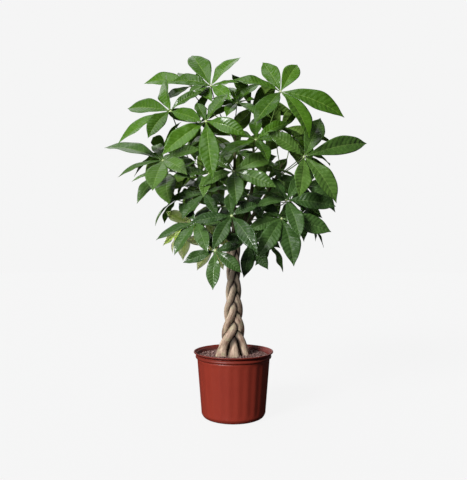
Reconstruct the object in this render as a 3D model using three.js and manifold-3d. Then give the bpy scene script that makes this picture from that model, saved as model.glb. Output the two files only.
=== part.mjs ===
// Potted money tree: five braided stems with palmate leaves, in a ten-inch nursery pot.
// Millimetres, +Z up, the origin at the centre of the pot's underside, -Y is the front.

import * as THREE from 'three';
import Module from 'manifold-3d';
import { mergeVertices } from 'three/addons/utils/BufferGeometryUtils.js';

const wasm = await Module();
wasm.setup();

// Clearances
const GAP = 0.3;
const LEAF_CLEARANCE = 2.6;

// Pot
const POT_HEIGHT = 209;
const POT_SEGMENTS = 48;
const RIM_RADIUS = 127;
const BODY_TOP_RADIUS = 115.8;
const BODY_TOP = 186;
const BODY_FOOT_RADIUS = 102;
const BODY_FOOT = 13;
const POT_WALL = 2.8;
const POT_FLOOR = 4;
const POT_FLOOR_CORNER = 7;
const FLUTE_DEPTH = 1.8;
const DRAIN_HOLES = 5;
const DRAIN_RING_RADIUS = 74;
const DRAIN_RADIUS = 7;

// Soil
const SOIL_LEVEL = 190;
const SOIL_MOUND = 7;
const MOUND_RADIUS = 95;
const MOUND_TOP_RADIUS = 45;
const SOIL_LUMP = 2.6;

// Braid of five stems
const STEM_COUNT = 5;
const STEM_SIDES = 6;
const BURIED_HEIGHTS = [118, 160, 186];
const BRAID_FOOT = 195;
const BRAID_START = 280;
const BRAID_TOP = 552;
const BRAID_STEP = 23;
const SHOOT_STEP = 42;
const BRAID_PITCH = 321;
const BRAID_CROSSING = 307;
const CROSSING_PHASE = 0.75;
const BRAID_TURN = THREE.MathUtils.degToRad(30);
const BRAID_REACH = 24.5;
const BRAID_TOP_REACH = 13.5;
const BRAID_DEPTH = 0.65;
const ARM_STRAIGHTNESS = 0.11;
const REACH_SHRINKS = [230, 440];
const SHOOTS_PART = [BRAID_TOP - 20, BRAID_TOP + 60];
const BASE_RADIUS = 13.2;
const TOP_RADIUS = 9.2;
const STEM_SLIMS = [250, 480];
const SHOOT_TIP_RADIUS = 3.6;
const FOOT_SWELLING = 2.4;
const FOOT_SPREAD = 20;
const STEM_WIDTH = 1.08;
const STEM_FLATNESS = 0.76;
const STEM_END = 0.6;

// Where each stem stands in the soil, and where its shoot ends above the braid
const FEET = [[-38, -22], [2, -36], [24, 24], [34, -10], [-34, 14]];
const SHOOTS = [
  { tip: [-135, -50, 815], rise: 1.1 },
  { tip: [5, 40, 965], rise: 1.5 },
  { tip: [160, 40, 815], rise: 1.2 },
  { tip: [62, -58, 852], rise: 3 },
  { tip: [-75, 130, 860], rise: 1.3 },
];

// Leaves
const PETIOLE_RADIUS = 1.9;
const PETIOLE_SIDES = 4;
const PETIOLE_STEPS = 5;
const PETIOLE_CURVE = 0.3;
const PETIOLE_RISE = 0.18;
const HUB_RADIUS = 4.5;
const HUB_HEIGHT = 3;
const BLADE_THICKNESS = 1.7;
const BLADE_FOLD = THREE.MathUtils.degToRad(13);
const WAVES_ALONG = 2.3;
const WAVE_HEIGHT = [0.8, 3.2];
const ARCH_DEGREES = [18, 52];
const ROLL_DEGREES = [-20, 20];
const BROADNESS = [0.31, 0.39];
const LEAST_WIDTH = 34;
const LONG_LEAFLET = 125;
const SHORT_STATIONS = [0.25, 0.54, 0.82];
const LONG_STATIONS = [0.2, 0.43, 0.66, 0.87];
const LEAST_APART = 27;

// How far along a stalk or a leaflet its solid, and its tests for room, start
const LEAFLET_FROM = 0.02;
const STALK_FROM = 0.03;
const STALK_BARE_FROM = 0.06;
const ROOM_FROM = 0.25;

// The leaves from the top of the crown down: where the hub is, which way the leaf faces (turned
// about the upright axis, then tipped up, in degrees), the stem and the height that its stalk
// grows from, and its leaflets, each as a clock angle from the top, a length and, where it stands
// out, a roll about its midrib in degrees and a width as a share of its length.
const LEAVES = [
  { hub: [-135, 0, 1055], faces: [-10, 50], grows: [1, 925],
    leaflets: [[281, 170], [330, 120], [25, 120], [135, 150], [215, 120]] },
  { hub: [-70, -60, 1040], faces: [-10, 40], grows: [1, 890],
    leaflets: [[333, 196], [28, 166, 14], [282, 136], [83, 90], [144, 110], [215, 100]] },
  { hub: [60, 110, 1010], faces: [160, 55], grows: [1, 935],
    leaflets: [[10, 150], [80, 130], [140, 150], [195, 160], [250, 150], [310, 140]] },
  { hub: [140, -130, 1005], faces: [15, 35], grows: [3, 835],
    leaflets: [[346, 134, 37, 0.4], [32, 156], [118, 206, -15], [158, 200], [217, 180], [284, 150]] },
  { hub: [10, -20, 995], faces: [0, 55], grows: [1, 950],
    leaflets: [[27, 140], [80, 90], [355, 140], [293, 95], [197, 110], [150, 120]] },
  { hub: [-120, 150, 965], faces: [-150, 45], grows: [4, 835],
    leaflets: [[5, 130], [75, 140], [140, 160], [195, 170], [255, 150], [310, 130]] },
  { hub: [-185, -160, 940], faces: [-25, 40], grows: [0, 795],
    leaflets: [[282, 172], [333, 190, 33], [47, 110, -35], [117, 144], [224, 182], [194, 120, 26, 0.42]] },
  { hub: [160, 130, 940], faces: [130, 40], grows: [2, 795],
    leaflets: [[0, 120], [60, 140], [120, 150], [180, 170], [240, 150], [300, 130]] },
  { hub: [-78, -220, 898], faces: [-5, 30], grows: [3, 790],
    leaflets: [[171, 206, 0, 0.28], [224, 165], [29, 120], [115, 130], [336, 80]] },
  { hub: [20, 250, 885], faces: [175, 30], grows: [4, 815],
    leaflets: [[10, 120], [70, 130], [125, 150], [180, 180], [235, 150], [300, 120]] },
  { hub: [-225, 100, 870], faces: [-110, 40], grows: [4, 790],
    leaflets: [[15, 110], [80, 130], [150, 150], [200, 160], [270, 140]] },
  { hub: [67, -115, 864], faces: [0, 50], grows: [3, 842],
    leaflets: [[2, 140], [42, 130], [105, 96], [227, 150], [295, 104], [165, 130]] },
  { hub: [240, 90, 850], faces: [100, 40], grows: [2, 770],
    leaflets: [[0, 120], [65, 140], [130, 150], [185, 150], [240, 140], [300, 130]] },
  { hub: [205, -170, 805], faces: [20, 25], grows: [2, 740],
    leaflets: [[31, 170], [308, 130], [75, 238, 0, 0.25], [155, 168], [198, 145]] },
  { hub: [-210, -130, 800], faces: [-15, 50], grows: [0, 735],
    leaflets: [[291, 245, 2, 0.28], [330, 108], [174, 158, 0, 0.42], [234, 144, -29], [64, 120],
      [130, 130]] },
  { hub: [-120, 260, 795], faces: [-155, 25], grows: [4, 750],
    leaflets: [[0, 110], [55, 130], [110, 150], [170, 170], [230, 150], [300, 120]] },
  { hub: [120, 250, 780], faces: [155, 25], grows: [2, 715],
    leaflets: [[20, 120], [80, 140], [135, 150], [185, 160], [245, 140], [310, 120]] },
  { hub: [-210, -20, 775], faces: [-30, 45], grows: [0, 700],
    leaflets: [[150, 180], [195, 150], [105, 150], [255, 130], [330, 110]] },
  { hub: [0, -190, 760], faces: [5, 40], grows: [3, 700],
    leaflets: [[118, 136], [63, 150], [180, 134], [236, 110], [313, 100]] },
  { hub: [-70, -190, 755], faces: [-10, 40], grows: [0, 675],
    leaflets: [[182, 98], [264, 110], [133, 100], [20, 95]] },
  { hub: [215, -60, 735], faces: [30, 40], grows: [2, 700],
    leaflets: [[150, 134, -35], [96, 132], [44, 150], [281, 90], [209, 130]] },
  { hub: [-190, 90, 700], faces: [-95, 35], grows: [4, 680],
    leaflets: [[20, 110], [95, 120], [160, 120], [215, 120], [290, 120]] },
  { hub: [45, -90, 700], faces: [10, 50], grows: [3, 650],
    leaflets: [[97, 105], [169, 124], [243, 100], [330, 94]] },
  { hub: [-85, -140, 700], faces: [-20, 40], grows: [0, 645],
    leaflets: [[204, 112], [257, 114], [145, 110], [80, 84], [336, 90]] },
  { hub: [200, 180, 700], faces: [130, 25], grows: [2, 685],
    leaflets: [[0, 110], [70, 140], [130, 150], [180, 160], [240, 140], [310, 120]] },
  { hub: [-40, 270, 690], faces: [180, 20], grows: [4, 660],
    leaflets: [[10, 110], [70, 140], [130, 150], [180, 160], [235, 140], [300, 120]] },
  { hub: [155, -150, 680], faces: [20, 40], grows: [2, 665],
    leaflets: [[107, 150, -29, 0.38], [181, 150, -30], [254, 110], [349, 100], [52, 130]] },
  { hub: [225, 45, 650], faces: [75, 30], grows: [2, 640],
    leaflets: [[15, 110], [95, 130], [160, 140], [215, 130], [290, 120]] },
  { hub: [-5, -250, 630], faces: [0, 35], grows: [3, 605],
    leaflets: [[259, 118], [204, 126], [151, 144], [63, 86], [353, 80]] },
  { hub: [140, -170, 625], faces: [15, 30], grows: [2, 615],
    leaflets: [[107, 154], [177, 158], [208, 166], [234, 120], [310, 90]] },
  { hub: [-150, 190, 620], faces: [-140, 20], grows: [4, 630],
    leaflets: [[10, 100], [70, 120], [130, 130], [180, 140], [240, 130], [310, 110]] },
  { hub: [-105, -190, 615], faces: [-15, 35], grows: [0, 615],
    leaflets: [[240, 130], [201, 125], [162, 120], [315, 100], [100, 90]] },
  { hub: [60, 230, 605], faces: [165, 15], grows: [1, 630],
    leaflets: [[15, 100], [75, 130], [135, 130], [180, 140], [235, 130], [300, 110]] },
  { hub: [-65, 190, 555], faces: [-165, 15], grows: [4, 600],
    leaflets: [[20, 90], [85, 110], [150, 120], [200, 110], [270, 110]] },
  { hub: [120, 145, 560], faces: [140, 15], grows: [1, 600],
    leaflets: [[10, 90], [80, 120], [140, 120], [200, 120], [280, 110]] },
  { hub: [50, -165, 555], faces: [5, 20], grows: [2, 590],
    leaflets: [[193, 110], [150, 96], [60, 70], [283, 80]] },
  { hub: [-51, -245, 533], faces: [-5, 20], grows: [0, 590],
    leaflets: [[181, 114], [248, 96], [130, 100], [78, 76], [331, 76]] },
  { hub: [-20, 75, 850], faces: [10, 65], grows: [1, 790],
    leaflets: [[0, 120], [60, 120], [120, 130], [180, 130], [240, 130], [300, 120]] },
  { hub: [110, -20, 790], faces: [50, 60], grows: [3, 745],
    leaflets: [[10, 120], [75, 120], [140, 120], [205, 120], [280, 120]] },
  { hub: [-115, 50, 735], faces: [-50, 55], grows: [4, 690],
    leaflets: [[10, 120], [80, 120], [145, 130], [210, 130], [285, 120]] },
  { hub: [55, 90, 690], faces: [120, 50], grows: [1, 655],
    leaflets: [[10, 110], [80, 120], [145, 120], [210, 120], [285, 110]] },
  { hub: [-25, -95, 665], faces: [-10, 55], grows: [3, 625],
    leaflets: [[20, 90], [95, 110], [165, 120], [235, 110], [310, 90]] },
  { hub: [-150, 60, 860], faces: [-70, 60], grows: [4, 800],
    leaflets: [[10, 120], [80, 130], [145, 140], [210, 140], [285, 120]] },
  { hub: [190, 40, 900], faces: [70, 60], grows: [2, 805],
    leaflets: [[10, 120], [80, 130], [145, 140], [210, 140], [285, 120]] },
  { hub: [-150, 30, 610], faces: [-80, 30], grows: [0, 630],
    leaflets: [[10, 90], [85, 110], [150, 120], [210, 110], [285, 100]] },
];

// Ways to bend a leaflet or a stalk clear of what is already there, the least bent first
const TURNS = [0, -8, 8, -16, 16];
const LIFTS = [0, 9, -9, 18, -18, 28, -28, 40];
const SHORTENINGS = [1, 0.86, 0.72];
const SWAYS = [
  [0, 0], [14, 0], [-14, 0], [0, 14], [0, -14], [26, 0], [-26, 0], [0, 28], [40, 10], [-40, 10],
];

const GREENS = ['#3f7d33', '#37702f', '#4a8a39', '#2c5a2a'];
const BARKS = ['#b9a58e', '#ad9a84', '#c2b09a', '#a8937c', '#b5a08a'];

// A repeatable stream of numbers from 0 to 1, one stream for each seed
function draws(seed) {
  let state = (seed * 7919 + 104729) % 4294967296;
  return () => {
    state = (state * 1664525 + 1013904223) % 4294967296;
    return state / 4294967296;
  };
}

function smooth(from, to, value) {
  return THREE.MathUtils.smoothstep(value, from, to);
}

function mix(a, b, t) {
  return a + (b - a) * t;
}

function vec(x, y, z) {
  return new THREE.Vector3(x, y, z);
}

function solidFrom(points, faces) {
  const mesh = new wasm.Mesh({
    numProp: 3,
    vertProperties: new Float32Array(points.flatMap((p) => [p.x, p.y, p.z])),
    triVerts: new Uint32Array(faces.flat()),
  });
  return new wasm.Manifold(mesh);
}

// A geometry with each place held by one vertex only, so that its faces close up
function welded(geometry) {
  geometry.deleteAttribute('normal');
  geometry.deleteAttribute('uv');
  return mergeVertices(geometry, 1e-3);
}

function solidFromGeometry(geometry) {
  const closed = welded(geometry);
  const mesh = new wasm.Mesh({
    numProp: 3,
    vertProperties: new Float32Array(closed.attributes.position.array),
    triVerts: new Uint32Array(closed.index.array),
  });
  return new wasm.Manifold(mesh);
}

function geometryFrom(solid) {
  const mesh = solid.getMesh();
  const geometry = new THREE.BufferGeometry();
  const positions = new Float32Array(mesh.vertProperties);
  geometry.setAttribute('position', new THREE.BufferAttribute(positions, 3));
  geometry.setIndex(new THREE.BufferAttribute(new Uint32Array(mesh.triVerts), 1));
  geometry.computeVertexNormals();
  return geometry;
}

// Rings of points joined into a closed tube with flat ends
function tube(rings) {
  const sides = rings[0].length;
  const last = (rings.length - 1) * sides;
  const faces = [];
  for (let i = 0; i < last; i += sides) {
    for (let j = 0; j < sides; j++) {
      const a = i + j;
      const b = i + (j + 1) % sides;
      faces.push([a, b, b + sides], [a, b + sides, a + sides]);
    }
  }
  for (let j = 1; j < sides - 1; j++) {
    faces.push([0, j + 1, j], [last, last + j, last + j + 1]);
  }
  return solidFrom(rings.flat(), faces);
}

// A ring round a point of a path, square to the path, with its own half widths
function ring(centre, along, across, halfWidth, halfDepth, sides) {
  const depth = vec().crossVectors(along, across).normalize();
  const width = vec().crossVectors(depth, along).normalize();
  const points = [];
  for (let j = 0; j < sides; j++) {
    const angle = (j + 0.5) * 2 * Math.PI / sides;
    points.push(centre.clone()
      .addScaledVector(width, halfWidth * Math.cos(angle))
      .addScaledVector(depth, halfDepth * Math.sin(angle)));
  }
  return points;
}

// Pot

// A profile of radii and heights turned about the upright axis
function lathe(profile) {
  const points = profile.map(([radius, height]) => new THREE.Vector2(radius, height));
  const geometry = new THREE.LatheGeometry(points, POT_SEGMENTS);
  geometry.rotateX(Math.PI / 2);
  return welded(geometry);
}

function innerRadius(height) {
  const slope = (BODY_TOP_RADIUS - BODY_FOOT_RADIUS) / (BODY_TOP - BODY_FOOT);
  return BODY_FOOT_RADIUS - POT_WALL + slope * (height - BODY_FOOT);
}

// The flutes are every second line up the body's outside, pressed in from BODY_FOOT to BODY_TOP
function isFlute(radius, angle, height) {
  const outside = radius > innerRadius(height) + POT_WALL / 2;
  const onBody = height > BODY_FOOT - 1 && height < BODY_TOP + 1;
  return outside && onBody && Math.round(angle / (2 * Math.PI) * POT_SEGMENTS) % 2 === 0;
}

function makePot() {
  const profile = [
    [0, 0], [88, 0], [96.5, 3.5], [BODY_FOOT_RADIUS, BODY_FOOT],
    [BODY_TOP_RADIUS, BODY_TOP], [119.6, 188.4], [121.2, 193], [119.4, 197.6], [117.8, 200],
    [121, 204.2], [RIM_RADIUS, 205.6], [RIM_RADIUS, POT_HEIGHT], [RIM_RADIUS - 3.6, POT_HEIGHT],
    [innerRadius(BODY_TOP) + 1.6, 199], [innerRadius(BODY_TOP), BODY_TOP],
    [innerRadius(BODY_FOOT), BODY_FOOT],
    [innerRadius(BODY_FOOT) - POT_FLOOR_CORNER, POT_FLOOR], [0, POT_FLOOR],
  ];
  const geometry = lathe(profile);
  const position = geometry.attributes.position;
  for (let i = 0; i < position.count; i++) {
    const x = position.getX(i);
    const y = position.getY(i);
    const radius = Math.hypot(x, y);
    if (!isFlute(radius, Math.atan2(x, -y), position.getZ(i))) continue;
    const scale = (radius - FLUTE_DEPTH) / radius;
    position.setXY(i, x * scale, y * scale);
  }
  let pot = solidFromGeometry(geometry);
  for (let i = 0; i < DRAIN_HOLES; i++) {
    const angle = (i + 0.5) * 2 * Math.PI / DRAIN_HOLES;
    const hole = new THREE.CylinderGeometry(DRAIN_RADIUS, DRAIN_RADIUS, 4 * POT_FLOOR, 8);
    hole.rotateX(Math.PI / 2);
    hole.translate(DRAIN_RING_RADIUS * Math.cos(angle), DRAIN_RING_RADIUS * Math.sin(angle), 0);
    pot = pot.subtract(solidFromGeometry(hole));
  }
  return pot;
}

// Stems: a braid of five up to BRAID_TOP, and a woody shoot from each above it

function stemCentre(stem, height) {
  const climb = (height - BRAID_CROSSING) / BRAID_PITCH + stem / STEM_COUNT + CROSSING_PHASE;
  const reach = stemReach(height);
  const turn = 2 * Math.PI * climb;
  const swing = (Math.cos(turn) + ARM_STRAIGHTNESS * Math.cos(3 * turn)) / (1 + ARM_STRAIGHTNESS);
  const across = reach * swing;
  const deep = -reach * BRAID_DEPTH * Math.sin(2 * turn);
  let x = across * Math.cos(BRAID_TURN) - deep * Math.sin(BRAID_TURN);
  let y = across * Math.sin(BRAID_TURN) + deep * Math.cos(BRAID_TURN);
  const planted = THREE.MathUtils.clamp((BRAID_START - height) / (BRAID_START - BRAID_FOOT), 0, 1);
  x = mix(x, FEET[stem][0], planted);
  y = mix(y, FEET[stem][1], planted);
  const { tip, rise } = SHOOTS[stem];
  const free = smooth(...SHOOTS_PART, height);
  const run = THREE.MathUtils.clamp((height - BRAID_TOP) / (tip[2] - BRAID_TOP), 0, 1);
  const spread = 1 - (1 - run) ** rise;
  return vec(x * (1 - free) + tip[0] * spread, y * (1 - free) + tip[1] * spread, height);
}

function stemReach(height) {
  return mix(BRAID_REACH, BRAID_TOP_REACH, smooth(...REACH_SHRINKS, height));
}

function stemRadius(stem, height) {
  const [from, to] = STEM_SLIMS;
  const slimmed = THREE.MathUtils.clamp((height - from) / (to - from), 0, 1);
  const braided = mix(BASE_RADIUS, TOP_RADIUS, slimmed);
  const foot = FOOT_SWELLING * Math.exp(-(((height - BRAID_FOOT) / FOOT_SPREAD) ** 2));
  const tip = SHOOTS[stem].tip[2];
  const run = THREE.MathUtils.clamp((height - BRAID_TOP) / (tip - BRAID_TOP), 0, 1);
  return mix(braided + foot, SHOOT_TIP_RADIUS, Math.sqrt(run));
}

function stemHeights(stem) {
  const heights = [...BURIED_HEIGHTS];
  for (let height = BRAID_FOOT + 5; height < BRAID_TOP + 40; height += BRAID_STEP) {
    heights.push(height);
  }
  const start = heights.at(-1);
  const tip = SHOOTS[stem].tip[2];
  const steps = Math.ceil((tip - start) / SHOOT_STEP);
  for (let i = 1; i <= steps; i++) heights.push(mix(start, tip, i / steps));
  return heights;
}

// One stem, thicker all round by extra. It is wider than deep in the braid, where its neighbours
// press on it, and round below and above.
function stemSolid(stem, extra) {
  const front = vec(Math.sin(BRAID_TURN), -Math.cos(BRAID_TURN), 0);
  const rings = stemHeights(stem).map((height, i, all) => {
    const along = stemCentre(stem, height + 1).sub(stemCentre(stem, height - 1)).normalize();
    const below = 1 - smooth(BRAID_START - 40, BRAID_START, height);
    const above = smooth(BRAID_TOP, BRAID_TOP + 50, height);
    const across = vec().crossVectors(front, along).normalize();
    const isEnd = i === 0 || i === all.length - 1;
    const radius = stemRadius(stem, height) * (isEnd ? STEM_END : 1);
    const halfWidth = radius * mix(STEM_WIDTH, 1, below + above) + extra;
    const halfDepth = radius * mix(STEM_FLATNESS, 1, below + above) + extra;
    return ring(stemCentre(stem, height), along, across, halfWidth, halfDepth, STEM_SIDES);
  });
  return tube(rings);
}

// Soil

// The soil fills the pot, mounds up towards the stems and has a hole for each
function makeSoil(stems) {
  const chance = draws(3);
  const clear = GAP / Math.cos(Math.PI / POT_SEGMENTS);
  const profile = [
    [0, POT_FLOOR + GAP], [innerRadius(BODY_FOOT) - POT_FLOOR_CORNER - clear, POT_FLOOR + GAP],
    [innerRadius(BODY_FOOT) - clear, BODY_FOOT + GAP],
    [innerRadius(SOIL_LEVEL) - clear, SOIL_LEVEL],
    [92, SOIL_LEVEL], [70, SOIL_LEVEL + 1], [46, SOIL_LEVEL + 1], [0, SOIL_LEVEL + 1],
  ];
  const geometry = lathe(profile);
  const position = geometry.attributes.position;
  for (let i = 0; i < position.count; i++) {
    const radius = Math.hypot(position.getX(i), position.getY(i));
    const lump = SOIL_LUMP * mix(-1, 1, chance());
    if (position.getZ(i) < SOIL_LEVEL || radius > MOUND_RADIUS) continue;
    const mound = SOIL_MOUND * (1 - smooth(MOUND_TOP_RADIUS, MOUND_RADIUS, radius));
    position.setZ(i, SOIL_LEVEL + mound + lump);
  }
  return stems.reduce((soil, stem) => soil.subtract(stem), solidFromGeometry(geometry));
}

// Leaves

function leafBasis([turned, tipped]) {
  const turn = THREE.MathUtils.degToRad(turned);
  const tip = THREE.MathUtils.degToRad(tipped);
  const facing = vec(Math.sin(turn) * Math.cos(tip), -Math.cos(turn) * Math.cos(tip), Math.sin(tip));
  const right = vec(Math.cos(turn), Math.sin(turn), 0);
  return { facing, right, up: vec().crossVectors(facing, right) };
}

// The middle line of a leaf stalk: out of the shoot, then up to the back of the hub
function stalkPoint(leaf, sway, t) {
  const { facing } = leafBasis(leaf.faces);
  const hub = vec(...leaf.hub);
  const start = stemCentre(...leaf.grows);
  const reach = hub.distanceTo(start);
  const outward = vec(hub.x - start.x, hub.y - start.y, 0).normalize();
  const sideways = vec(-outward.y, outward.x, 0);
  const leaving = start.clone()
    .addScaledVector(outward, PETIOLE_CURVE * reach)
    .addScaledVector(sideways, sway[0])
    .add(vec(0, 0, PETIOLE_RISE * reach + sway[1]));
  const arriving = hub.clone()
    .addScaledVector(facing, -PETIOLE_CURVE * reach)
    .addScaledVector(sideways, sway[0])
    .add(vec(0, 0, sway[1]));
  return new THREE.CubicBezierCurve3(start, leaving, arriving, hub).getPoint(t);
}

// The way that the stalk runs at t, from its foot towards the hub
function stalkDirection(leaf, sway, t) {
  const ahead = stalkPoint(leaf, sway, Math.min(t + 0.02, 1));
  return ahead.sub(stalkPoint(leaf, sway, Math.max(t - 0.02, 0))).normalize();
}

// A stalk swells at its foot, but never past the sides of the shoot that it grows from
function stalkFootRadius(leaf) {
  return Math.min(1.5 * PETIOLE_RADIUS, 0.6 * stemRadius(...leaf.grows));
}

// A stalk by itself, starting some way along it, and thicker all round by extra
function stalkSolid(leaf, sway, from, extra) {
  const rings = [];
  for (let i = 0; i <= PETIOLE_STEPS; i++) {
    const t = mix(from, 1, i / PETIOLE_STEPS);
    const along = stalkDirection(leaf, sway, t);
    const across = vec(-along.y, along.x, 0.2);
    const radius = (t < 0.1 ? stalkFootRadius(leaf) : PETIOLE_RADIUS) + extra;
    rings.push(ring(stalkPoint(leaf, sway, t), along, across, radius, radius, PETIOLE_SIDES));
  }
  return tube(rings);
}

// One leaflet's own form. Its length is measured straight from the hub to its tip.
function leafletForm(leafIndex, index) {
  const chance = draws(leafIndex * 12 + index + 1);
  const [clock, length, roll, broadness] = LEAVES[leafIndex].leaflets[index];
  const usualBroadness = mix(...BROADNESS, chance());
  return {
    clock,
    length,
    width: Math.max(length * (broadness ?? usualBroadness), LEAST_WIDTH),
    arch: THREE.MathUtils.degToRad(mix(...ARCH_DEGREES, chance())),
    roll: THREE.MathUtils.degToRad(mix(...ROLL_DEGREES, chance()) + (roll ?? 0)),
    wave: mix(...WAVE_HEIGHT, chance() ** 2),
    phases: [chance(), chance()],
  };
}

// Half the blade's width as a share of its width, t along it: slim at the hub, widest past the
// middle and drawn to a point
function halfWidth(t) {
  return 0.5 * Math.sin(Math.PI * t ** 1.16) ** 1.1;
}

function clockDirection(leaf, clock) {
  const { right, up } = leafBasis(leaf.faces);
  const angle = THREE.MathUtils.degToRad(clock);
  return up.clone().multiplyScalar(Math.cos(angle)).addScaledVector(right, Math.sin(angle));
}

// A direction turned by an angle towards another that is square to it
function turnedTowards(direction, other, angle) {
  return direction.clone().multiplyScalar(Math.cos(angle)).addScaledVector(other, Math.sin(angle));
}

// A point of a leaflet's middle surface, t along it and s across it from its left edge (-1) to
// its right edge (1). The blade is an arc over its chord, folded along the midrib and rippled.
function leafletPoint(leaf, form, bend, t, s) {
  const { facing } = leafBasis(leaf.faces);
  const out = clockDirection(leaf, form.clock + bend.turn);
  const side = vec().crossVectors(out, facing);
  const lift = THREE.MathUtils.degToRad(bend.lift);
  const chord = turnedTowards(out, facing, lift);
  const lifted = turnedTowards(facing, out, -lift);
  const length = form.length * bend.short;
  const radius = length / (2 * Math.sin(form.arch / 2));
  const angle = form.arch * (t - 0.5);
  const point = vec(...leaf.hub)
    .addScaledVector(chord, length / 2 + radius * Math.sin(angle))
    .addScaledVector(lifted, radius * (Math.cos(angle) - Math.cos(form.arch / 2)));
  const flat = turnedTowards(lifted, chord, angle);
  const roll = form.roll * smooth(0, 0.3, t);
  const across = turnedTowards(side, flat, roll);
  const normal = turnedTowards(flat, side, -roll);
  const half = Math.abs(s) * Math.max(form.width * bend.short * halfWidth(t), t < 0.5 ? 2 : 0);
  const phase = form.phases[s < 0 ? 0 : 1];
  const ripple = Math.sin(Math.PI * t) * Math.sin(2 * Math.PI * (WAVES_ALONG * t + phase));
  point.addScaledVector(across, Math.sign(s) * half * Math.cos(BLADE_FOLD));
  point.addScaledVector(normal, half * Math.sin(BLADE_FOLD) + form.wave * Math.abs(s) * ripple);
  return { point, normal };
}

// A cut through a leaflet: its left edge, the top of its midrib, its right edge, the underside
function bladeSection(leaf, form, bend, t, extra) {
  const middle = leafletPoint(leaf, form, bend, t, 0);
  const left = leafletPoint(leaf, form, bend, t, -1).point;
  const right = leafletPoint(leaf, form, bend, t, 1).point;
  const outward = right.clone().sub(left).normalize().multiplyScalar(extra);
  const thick = BLADE_THICKNESS * mix(0.8, 0.5, t) + extra;
  return [
    left.sub(outward),
    middle.point.clone().addScaledVector(middle.normal, thick),
    right.add(outward),
    middle.point.clone().addScaledVector(middle.normal, -thick),
  ];
}

// The faces of a blade from one cut to the next, with both faces split into triangles alike
function bladeFaces([left, top, right, bottom], [left2, top2, right2, bottom2]) {
  return [
    [left, top, top2], [left, top2, left2],
    [top, right, right2], [top, right2, top2],
    [right, bottom, right2], [bottom, bottom2, right2],
    [bottom, left, bottom2], [left, left2, bottom2],
  ];
}

function tipFaces([left, top, right, bottom], tip) {
  return [[left, top, tip], [top, right, tip], [right, bottom, tip], [bottom, left, tip]];
}

function stationsOf(form) {
  return form.length > LONG_LEAFLET ? LONG_STATIONS : SHORT_STATIONS;
}

// A leaflet by itself, starting some way out from the hub, and thicker all round by extra
function leafletSolid(leaf, form, bend, from, extra) {
  const stations = [from, ...stationsOf(form).filter((t) => t > from + 0.05)];
  const cuts = stations.map((t) => bladeSection(leaf, form, bend, t, extra));
  const points = [...cuts.flat(), leafletPoint(leaf, form, bend, 1, 0).point];
  const faces = [[2, 1, 0], [3, 2, 0]];
  const numbers = cuts.map((_, i) => [0, 1, 2, 3].map((j) => 4 * i + j));
  for (let i = 1; i < cuts.length; i++) faces.push(...bladeFaces(numbers[i - 1], numbers[i]));
  faces.push(...tipFaces(numbers.at(-1), points.length - 1));
  return solidFrom(points, faces);
}

// A whole leaf as one closed skin. The leaflets share the top of the hub, each two neighbours
// share a notch, and the underside of each runs into one side of the stalk.
function leafSolid(leaf, sway, blades) {
  const { facing, up } = leafBasis(leaf.faces);
  const hub = vec(...leaf.hub);
  const count = blades.length;
  const clocks = blades.map(({ form, bend }) => form.clock + bend.turn);
  const points = [hub.clone().addScaledVector(facing, HUB_HEIGHT)];
  const add = (list) => list.map((point) => points.push(point) - 1);
  const notches = add(clocks.map((clock, i) => {
    const next = clocks[(i + 1) % count] + (i === count - 1 ? 360 : 0);
    return hub.clone().addScaledVector(clockDirection(leaf, (clock + next) / 2), HUB_RADIUS);
  }));
  const faces = [];
  const rings = [];
  const upward = up.clone();
  for (let i = 0; i <= PETIOLE_STEPS; i++) {
    const t = 1 - i / PETIOLE_STEPS;
    const along = stalkDirection(leaf, sway, t);
    upward.addScaledVector(along, -upward.dot(along)).normalize();
    const right = vec().crossVectors(upward, along);
    const radius = i === PETIOLE_STEPS ? stalkFootRadius(leaf) : PETIOLE_RADIUS;
    const under = hub.clone().addScaledVector(facing, -HUB_HEIGHT);
    const centre = i === 0 ? under : stalkPoint(leaf, sway, t);
    rings.push(add(clocks.map((clock) => {
      const arm = turnedTowards(upward, right, THREE.MathUtils.degToRad(clock));
      return centre.clone().addScaledVector(arm, radius);
    })));
  }
  for (let i = 0; i < count; i++) {
    const next = (i + 1) % count;
    faces.push([rings[0][i], notches[i], rings[0][next]]);
    for (let k = 0; k < PETIOLE_STEPS; k++) {
      faces.push([rings[k][i], rings[k][next], rings[k + 1][next]]);
      faces.push([rings[k][i], rings[k + 1][next], rings[k + 1][i]]);
    }
  }
  const foot = rings.at(-1);
  for (let j = 1; j < count - 1; j++) faces.push([foot[0], foot[j], foot[j + 1]]);
  blades.forEach(({ form, bend }, i) => {
    let cut = [notches[(i + count - 1) % count], 0, notches[i], rings[0][i]];
    for (const t of stationsOf(form)) {
      const next = add(bladeSection(leaf, form, bend, t, 0));
      faces.push(...bladeFaces(cut, next));
      cut = next;
    }
    const [tip] = add([leafletPoint(leaf, form, bend, 1, 0).point]);
    faces.push(...tipFaces(cut, tip));
  });
  return solidFrom(points, faces);
}

function boxesMeet(a, b) {
  return [0, 1, 2].every((axis) => a.min[axis] < b.max[axis] && b.min[axis] < a.max[axis]);
}

function isClear(solid, others) {
  const box = solid.boundingBox();
  return others.every((other) => !boxesMeet(box, other.box) || solid.intersect(other.solid).isEmpty());
}

function listed(solid, leaf) {
  return { solid, box: solid.boundingBox(), leaf };
}

// The ways to bend a leaflet, from the least bent to the most, and then the same with it shorter
function leafletBends() {
  return SHORTENINGS.flatMap((short) => {
    const group = LIFTS.flatMap((lift) => TURNS.map((turn) => ({ turn, lift, short })));
    return group.sort((a, b) => Math.hypot(a.turn, a.lift) - Math.hypot(b.turn, b.lift));
  });
}

function isSpaced(clock, blades) {
  return blades.every(({ form, bend }) => {
    const apart = Math.abs(clock - form.clock - bend.turn) % 360;
    return Math.min(apart, 360 - apart) > LEAST_APART;
  });
}

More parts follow.
